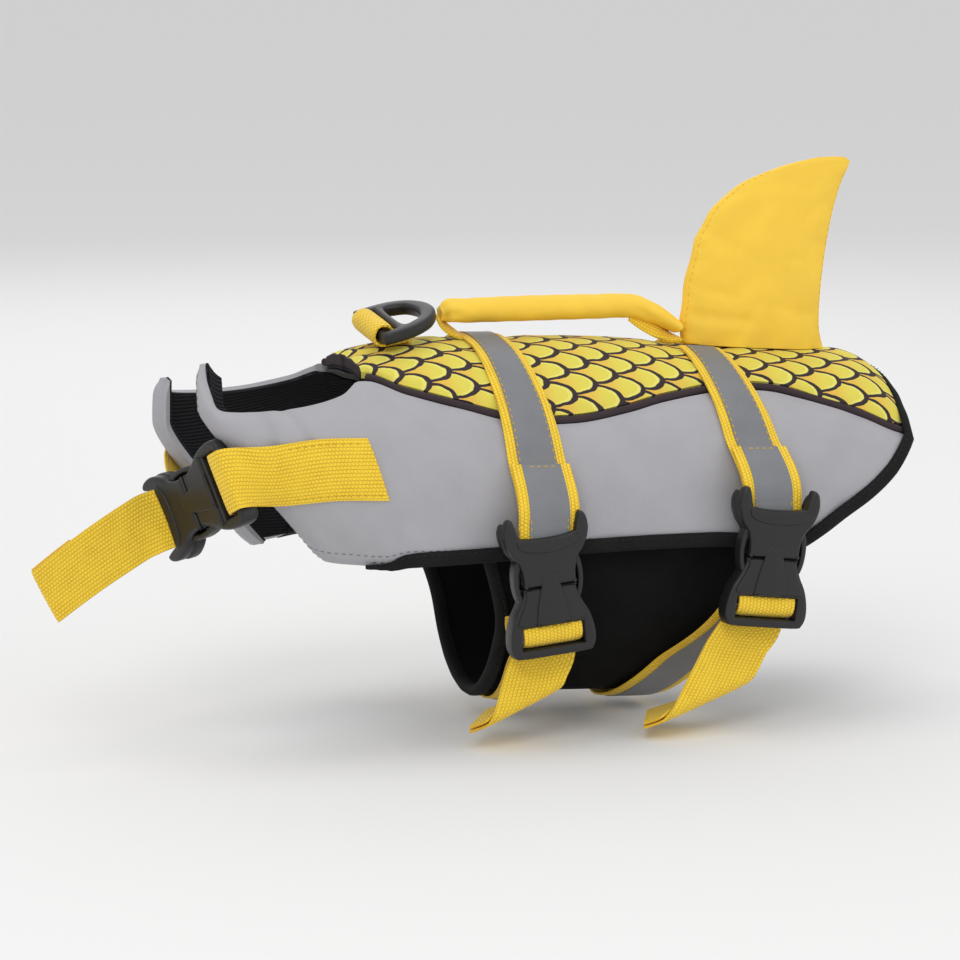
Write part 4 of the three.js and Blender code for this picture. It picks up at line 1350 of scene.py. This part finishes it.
def front_frame():
    axis = Vector((0.16, -0.94, 0.3)).normalized()
    across = (Vector((0, 0, -1)) + axis * axis.z).normalized()
    face = across.cross(axis)
    turn = Matrix.Rotation(math.radians(13), 4, axis * 0.87 + face * 0.49)
    turn = turn @ Matrix.Rotation(math.radians(-8), 4, across)
    turn = turn @ Matrix((across, axis, face)).transposed().to_4x4()
    return Matrix.Translation((-123.6 * MM, -13.2 * MM, -52.6 * MM)) @ turn


FRAMES = {"1": side_frame(4.2, -66.4, -85.3, 5), "2": side_frame(101.2, -66, -80.3, -7), "front": front_frame()}


def put(frame, points):
    """Points in millimetres of a buckle's own frame, as points of the jacket."""
    m = np.array(FRAMES[frame]) if isinstance(frame, str) else np.array(frame)
    return np.asarray(points, float) @ m[:3, :3].T + m[:3, 3] / MM


class JACKET_OT_buckles(bpy.types.Operator):
    """The three side release buckles"""

    bl_idname = "jacket.buckles"
    bl_label = "Buckles"

    def execute(self, context):
        half_turn = Matrix.Rotation(math.pi, 4, "Z")
        for name in ("1", "2"):
            moulded(f"buckle_socket_{name}", ear_half(), FRAMES[name])
            moulded(f"buckle_plug_{name}", frame_half(), FRAMES[name])
        moulded("buckle_plug_front", ear_half(), FRAMES["front"] @ half_turn)
        moulded("buckle_socket_front", frame_half(), FRAMES["front"] @ half_turn)
        return {"FINISHED"}


RING_PLACE = (-46.0, 12.0, 14.0, 10.0)


def ring_frame():
    x, z, tilt, roll = RING_PLACE
    turn = Matrix.Rotation(math.radians(-tilt), 4, "Y") @ Matrix.Rotation(math.radians(roll), 4, "X")
    return Matrix.Translation((x * MM, 0, z * MM)) @ turn


class JACKET_OT_ring(bpy.types.Operator):
    """The moulded D ring and the webbing loop that holds it"""

    bl_idname = "jacket.ring"
    bl_label = "Lead ring"

    def execute(self, context):
        outline = [(-2.2, -16.4), (-0.6, -18.2), (5, -18.6), (13, -17.6), (20.4, -13.4), (25, -6.6), (26.4, 0),
                   (25, 6.6), (20.4, 13.4), (13, 17.6), (5, 18.6), (-0.6, 18.2), (-2.2, 16.4), (-2.6, 0)]
        opening = [
            (9.6, -11), (13.2, -10.8), (17.4, -7.8), (19.6, 0),
            (17.4, 7.8), (13.2, 10.8), (9.6, 11), (8.8, 0)]
        slot_hole = box_loop(1.6, -13.4, 5.4, 13.4)
        body = plate(outline, -2.6, 2.6, 1.7, [opening, slot_hole])
        moulded("d_ring", [body], ring_frame(), "d_ring")
        rows = [(11, -7.6, 1.0), (8, -7, 0.9), (5.5, -6.1, 0.7), (2.5, -5.1, 0.3)]
        for i in range(21):
            turn = math.radians(-90 - 15.5 * i)
            rows.append((4.25 * math.cos(turn), 4.25 * math.sin(turn), 0))
        rows = np.array(rows)
        line = np.stack([rows[:, 0], 0 * rows[:, 0], rows[:, 1]], 1)
        run = unit(np.gradient(line, axis=0))
        out = np.stack([-run[:, 2], 0 * run[:, 1], run[:, 0]], 1)
        v = np.linspace(-1, 1, 11)
        level = np.radians(rows[:, 2] * RING_PLACE[3])
        grids = []
        for sign in (-1, 1):
            depth = sign * rounded((v + 1) / 2, WEBBING / 2)
            p = line[:, None] + out[:, None] * depth[None, :, None]
            p = np.broadcast_to(p, (len(rows), 11, 3)).copy()
            p[..., 1] += 12.3 * v * (1 + 0.03 * np.sin(rows[:, :1] * 1.3))
            p[..., 2] -= p[..., 1] * np.sin(level)[:, None]
            grids.append(put(ring_frame(), p))
        loop = shell("ring_loop", grids[0], grids[1])
        dress(loop, "ring_loop", "yellow")
        declare_sheet(loop, grids[0])
        return {"FINISHED"}


# Free ends and chest straps

ROW_STEP = 0.8  # between the rows of a free strip
TAIL_HALF = 12.4  # half the width of a free strip
HEM_ROWS = 18  # rows of a tail that its hem covers


def thicken(middle, thickness):
    """Both faces of a cloth from a grid of points on its middle."""
    normal = unit(np.cross(np.gradient(middle, axis=0), np.gradient(middle, axis=1)))
    depth = rounded(np.linspace(0, 1, middle.shape[1]), thickness / 2)[None, :, None]
    return middle + normal * depth, middle - normal * depth


def across(line, half, columns=10):
    """Rows of a flat strip through places y, z of a buckle's frame."""
    keys = lengths(line)
    at = np.linspace(0, keys[-1], int(keys[-1] / ROW_STEP) + 2)
    rows = {"path": keys, "y": np.array(line)[:, 0], "z": np.array(line)[:, 1]}
    y, z = read(rows, "y", at), read(rows, "z", at)
    v = np.linspace(-half, half, columns + 1)
    return np.stack(np.broadcast_arrays(v[None, :], y[:, None], z[:, None]), -1)


def folded(length, half, bends, lean, columns=10):
    """A flat strip hanging from the origin, leaning sideways, folded along slanted lines.

    Each bend has its distance along the strip, the slant of its line, how far it turns and
    its radius."""
    rows = np.linspace(0, length, int(length / ROW_STEP))
    along, t = np.meshgrid(rows, np.linspace(-half, half, columns + 1), indexing="ij")
    p =np.stack([t, -along, 0 * t], -1)
    for at, slant_deg, turn, radius in reversed(bends):
        k, turn = math.radians(slant_deg), math.radians(turn)
        line = np.array([math.cos(k), math.sin(k), 0])
        beyond = np.array([math.sin(k), -math.cos(k), 0])
        q = p - np.array([0, -at, 0])
        arc = abs(turn) * radius
        past = np.maximum(q @ beyond + arc / 2, 0)
        bent = np.minimum(past, arc) / radius * np.sign(turn)
        rest = np.maximum(past - arc, 0)
        level = np.where(past > 0, radius * np.sin(np.abs(bent)) + rest * np.cos(bent) - arc / 2, q @ beyond)
        lift = np.sign(turn) * radius * (1 - np.cos(bent)) + rest * np.sin(bent)
        level, lift = level - np.sin(bent) * q[..., 2], lift + np.cos(bent) * q[..., 2]
        p = np.array([0, -at, 0]) + (q @ line)[..., None] * line + level[..., None] * beyond
        p[..., 2] += lift
    k = np.radians(lean) * smooth(along / 9)
    x = p[..., 0] * np.cos(k) - p[..., 1] * np.sin(k)
    y = p[..., 0] * np.sin(k) + p[..., 1] * np.cos(k)
    return np.stack([x, y, p[..., 2]], -1)


# Through the slot, over its bar and down behind the frame, as places y, z of the buckle
THREADED = [
    (-15.6, 0.5), (-16.6, 2.2), (-19, 2.9), (-22, 2.2), (-24.1, -0.6), (-24.9, -4.2), (-26.6, -6.8)]
HANGS_FROM = (0, -27.4, -7)
# A soft bend where the strip leaves the frame, then a sharp fold near its end
SOFT_TURN, SOFT_RADIUS = 25, 7
SHARP_TURN, SHARP_RADIUS = -105, 3
HANGING = {
    "1": {"length": 47, "lean": -28, "bends": [
        (10, 28, SOFT_TURN, SOFT_RADIUS), (24, 45, SHARP_TURN, SHARP_RADIUS)]},
    "2": {"length": 67, "lean": -30, "bends": [
        (12, 30, SOFT_TURN, SOFT_RADIUS), (39, 55, SHARP_TURN, SHARP_RADIUS)]},
}
THREADED_FRONT = [(-17.5, 1.2), (-19.6, 3.4), (-21.4, 6.2), (-21.8, 9)]
# The front tail runs straight from its buckle to its end, rising a little between them
FRONT_TAIL_START = (-144, 1, -65)
FRONT_TAIL_END = (-187, -12, -88)
FRONT_TAIL_WIDE_START = (0.52, 0, -0.85)
FRONT_TAIL_WIDE_END = (0.28, 0.14, -0.94)
FRONT_TAIL_RISE = 1
FRONT_TAIL_STEPS = 4


def front_tail():
    """Stations of the front tail: place and direction of its width."""
    rows = []
    for s in np.linspace(0, 1, FRONT_TAIL_STEPS + 1):
        place = np.array(FRONT_TAIL_START) * (1 - s) + np.array(FRONT_TAIL_END) * s
        place[2] += FRONT_TAIL_RISE * math.sin(math.pi * s)
        wide = np.array(FRONT_TAIL_WIDE_START) * (1 - s) + np.array(FRONT_TAIL_WIDE_END) * s
        rows.append((*place, *wide))
    return rows


class JACKET_OT_tails(bpy.types.Operator):
    """Free ends of the webbing, each threaded through its buckle and folded at the end"""

    bl_idname = "jacket.tails"
    bl_label = "Strap tails"

    def execute(self, context):
        for name, hang in HANGING.items():
            loop = across(THREADED, TAIL_HALF)
            free = folded(hang["length"], TAIL_HALF, hang["bends"], hang["lean"]) + HANGS_FROM
            middle = put(name, np.concatenate([loop, free]))
            self.tail(name, *thicken(middle, WEBBING), "plug")
        wide = np.array(FRAMES["front"])[:3, 0]
        start = put("front", [(0, y, z) for y, z in THREADED_FRONT])
        stations = [(*p, *wide, 12.5) for p in start] + [(*row, 12.5) for row in front_tail()]
        self.tail("front", *ribbon(stations, WEBBING, per_step=7, curl=0.5), "socket")
        return {"FINISHED"}

    def tail(self, name, front, back, half):
        tail = shell(f"strap_tail_{name}", front, back)
        dress(tail, f"strap_tail_{name}", "yellow")
        declare_sheet(tail, front)
        # the end folded back and sewn on the inner face
        end = slice(-HEM_ROWS - 1, -1)
        rows = (front + back)[end] / 2
        inner = unit(back[end] - front[end])
        face, other = thicken(rows + inner * (WEBBING + 0.15), WEBBING)
        hem = shell(f"tail_hem_{name}", face, other)
        paint(hem, material("yellow"))
        declare_sheet(hem, face)


# Round the bar of the front buckle and into its slot
OVER_BAR = [(19.6, -1.5), (20.4, 1.6), (22.2, 4.2), (25, 5.3), (29.5, 5.2)]
FACE_FRONT = np.array(FRAMES["front"])[:3, 2]

BOW = 24.0  # how strongly the free part of a chest strap curves at its ends

CHEST = {
    "near": {"sign": -1, "end": (29.5, 5.2), "sewn": table("at topX topZ lowX lowZ", [
        (0, -101, -27.6, -95, -52), (0.5, -84, -25.8, -77, -49.8), (1, -65, -26, -57.5, -50)])},
    "far": {"sign": 1, "end": (-20, -6.4), "sewn": table("at topX topZ lowX lowZ", [
        (0, -120, -36, -106, -58.5), (0.5, -92, -28.5, -82, -52.5), (1, -65, -26, -57.5, -50)])},
}


def path_at(sign, x, z):
    """Path length where the form reaches a place on the flank."""
    low, high = np.full(x.shape, 22.0), np.full(x.shape, 150.0)
    for _ in range(34):
        middle = (low + high) / 2
        short = on_form(middle, sign * angle_at(middle, z))[..., 0] < x
        low, high = np.where(short, middle, low), np.where(short, high, middle)
    return (low + high) / 2


def sewn_point(strap, t, v, out):
    rows = strap["sewn"]
    x = read(rows, "topX", t, "at") * (1 - v) + read(rows, "lowX", t, "at") * v
    z = read(rows, "topZ", t, "at") * (1 - v) + read(rows, "lowZ", t, "at") * v
    path = path_at(strap["sign"], x, z)
    return form(path, strap["sign"] * angle_at(path, z), out)


def chest_grid(strap, rows, columns, outer):
    """One face of a chest strap: a bowed free part, then the part sewn to the flank."""
    free = 0.42
    u, v = grid(rows, columns)
    middle = (GAP + ON_PANEL) / 2
    out = middle + (1 if outer else -1) * rounded(v, WEBBING / 2)
    sewn = sewn_point(strap, np.clip((u - free) / (1 - free), 0, 1), v, out)
    start = sewn_point(strap, 0 * u, v, out)
    leave = unit(start - sewn_point(strap, 0 * u + 0.06, v, out)) * BOW
    y, z = strap["end"]
    local = np.stack([TAIL_HALF * (2 * v - 1), y + 0 * v, z + out - middle], -1)
    axis = np.array(FRAMES["front"])[:3, 1] * strap["sign"] * BOW * 0.8
    t = np.clip(1 - u / free, 0, 1)[..., None]
    bowed = hermite(t, start, leave, put("front", local), axis)
    return np.where((u >= free)[..., None], sewn, bowed)


class JACKET_OT_chest_straps(bpy.types.Operator):
    """The two webbing straps sewn to the flanks that meet at the front buckle"""

    bl_idname = "jacket.chest_straps"
    bl_label = "Chest straps"

    def execute(self, context):
        for name, strap in CHEST.items():
            front, back = chest_grid(strap, 90, 14, True), chest_grid(strap, 90, 14, False)
            if name == "near":
                loop = put("front", across(OVER_BAR, TAIL_HALF, 14))
                faces = thicken(loop[:-1], WEBBING)
                outer = int(faces[0][-1, 7] @ FACE_FRONT < faces[1][-1, 7] @ FACE_FRONT)
                front = np.concatenate([faces[outer], front])
                back = np.concatenate([faces[1 - outer], back])
            web = shell(f"chest_strap_{name}", front, back)
            dress(web, f"chest_strap_{name}", "yellow")
            declare_sheet(web, front)
            t, v = np.meshgrid(np.linspace(0.04, 0.97, 60), np.array([0.09, 0.91]), indexing="ij")
            line = sewn_point(strap, t, v, ON_PANEL + 0.1 + 0 * t)
            centre = sewn_point(strap, t, v, ON_PANEL - 1 + 0 * t)
            lines = [(line[:, k], unit(line[:, k] - centre[:, k])) for k in (0, 1)]
            stitches(f"chest_stitches_{name}", lines, "yellow_thread")
        return {"FINISHED"}


# Stage

CAMERA = {"azimuth": -20.0, "elevation": 9.0, "distance": 1.6, "aim": (0.0, 0.0, -0.0531), "lens": 145.6}


def area_light(name, place, aim, size, power):
    data = bpy.data.lights.new(name, "AREA")
    data.shape = "DISK"
    data.size = size
    data.energy = power
    light = bpy.data.objects.new(name, data)
    light.location = place
    light.rotation_euler = (Vector(aim) - Vector(place)).to_track_quat("-Z", "Y").to_euler()
    bpy.context.scene.collection.objects.link(light)
    return light


class JACKET_OT_stage(bpy.types.Operator):
    """Pale floor, soft lights and the camera"""

    bl_idname = "jacket.stage"
    bl_label = "Stage"

    def execute(self, context):
        scene = context.scene
        world = bpy.data.worlds.new("studio")
        world.use_nodes = True
        world.node_tree.nodes["Background"].inputs["Color"].default_value = (1, 1, 1, 1)
        world.node_tree.nodes["Background"].inputs["Strength"].default_value = 0.72
        scene.world = world
        scene.view_settings.view_transform = "Standard"
        bpy.ops.mesh.primitive_plane_add(size=30, location=(0, 0, -0.152))
        floor = context.object
        floor.name = "floor"
        floor.data.materials.append(Shader("floor", (0.86, 0.86, 0.86, 1), 0.9).material)
        aim = (0, 0, -0.05)
        lights = [
            area_light("key", (-0.7, -1.3, 1.1), aim, 0.9, 7),
            area_light("fill", (1.3, -1.1, 0.5), aim, 1.2, 2.2),
            area_light("top", (0.1, 0.2, 1.6), aim, 1.0, 4.5),
            area_light("back", (0.3, 1.4, 0.9), aim, 1.2, 3.5),
        ]
        data = bpy.data.cameras.new("camera")
        data.lens, data.sensor_width = CAMERA["lens"], 36.0
        data.clip_start, data.clip_end = 0.05, 100
        camera = bpy.data.objects.new("camera", data)
        scene.collection.objects.link(camera)
        a, e = math.radians(CAMERA["azimuth"]), math.radians(CAMERA["elevation"])
        back = Vector((math.sin(a) * math.cos(e), -math.cos(a) * math.cos(e), math.sin(e)))
        camera.location = Vector(CAMERA["aim"]) + back * CAMERA["distance"]
        camera.rotation_euler = (-back).to_track_quat("-Z", "Y").to_euler()
        scene.camera = camera
        return {"FINISHED"}


class JacketSizes(bpy.types.PropertyGroup):
    """Sizes that shape the cloth"""

    puff: FloatProperty(
        name="Puff", description="How far the foam swells between the straps, in millimetres",
        default=0.7, min=0, max=2)


class JACKET_PT_panel(bpy.types.Panel):
    """Buttons that build the jacket piece by piece"""

    bl_idname = "JACKET_PT_panel"
    bl_label = "Life Jacket"
    bl_space_type = "VIEW_3D"
    bl_region_type = "UI"
    bl_category = "Life Jacket"

    def draw(self, context):
        column = self.layout.column()
        column.prop(context.scene.jacket_sizes, "puff")
        for operator in BUILD:
            column.operator(operator.bl_idname)


BUILD = (
    JACKET_OT_side_panels,
    JACKET_OT_back_panel,
    JACKET_OT_linings,
    JACKET_OT_piping,
    JACKET_OT_edge_binding,
    JACKET_OT_belly_band,
    JACKET_OT_straps,
    JACKET_OT_fin,
    JACKET_OT_handle,
    JACKET_OT_ring,
    JACKET_OT_buckles,
    JACKET_OT_tails,
    JACKET_OT_chest_straps,
    JACKET_OT_stage,
)
CLASSES = (JacketSizes, *BUILD, JACKET_PT_panel)


def register():
    for cls in CLASSES:
        bpy.utils.register_class(cls)
    bpy.types.Scene.jacket_sizes = PointerProperty(type=JacketSizes)


def unregister():
    del bpy.types.Scene.jacket_sizes
    for cls in reversed(CLASSES):
        bpy.utils.unregister_class(cls)


def main():
    register()
    for operator in BUILD:
        group, name = operator.bl_idname.split(".")
        getattr(getattr(bpy.ops, group), name)()


if __name__ == "__main__":
    main()
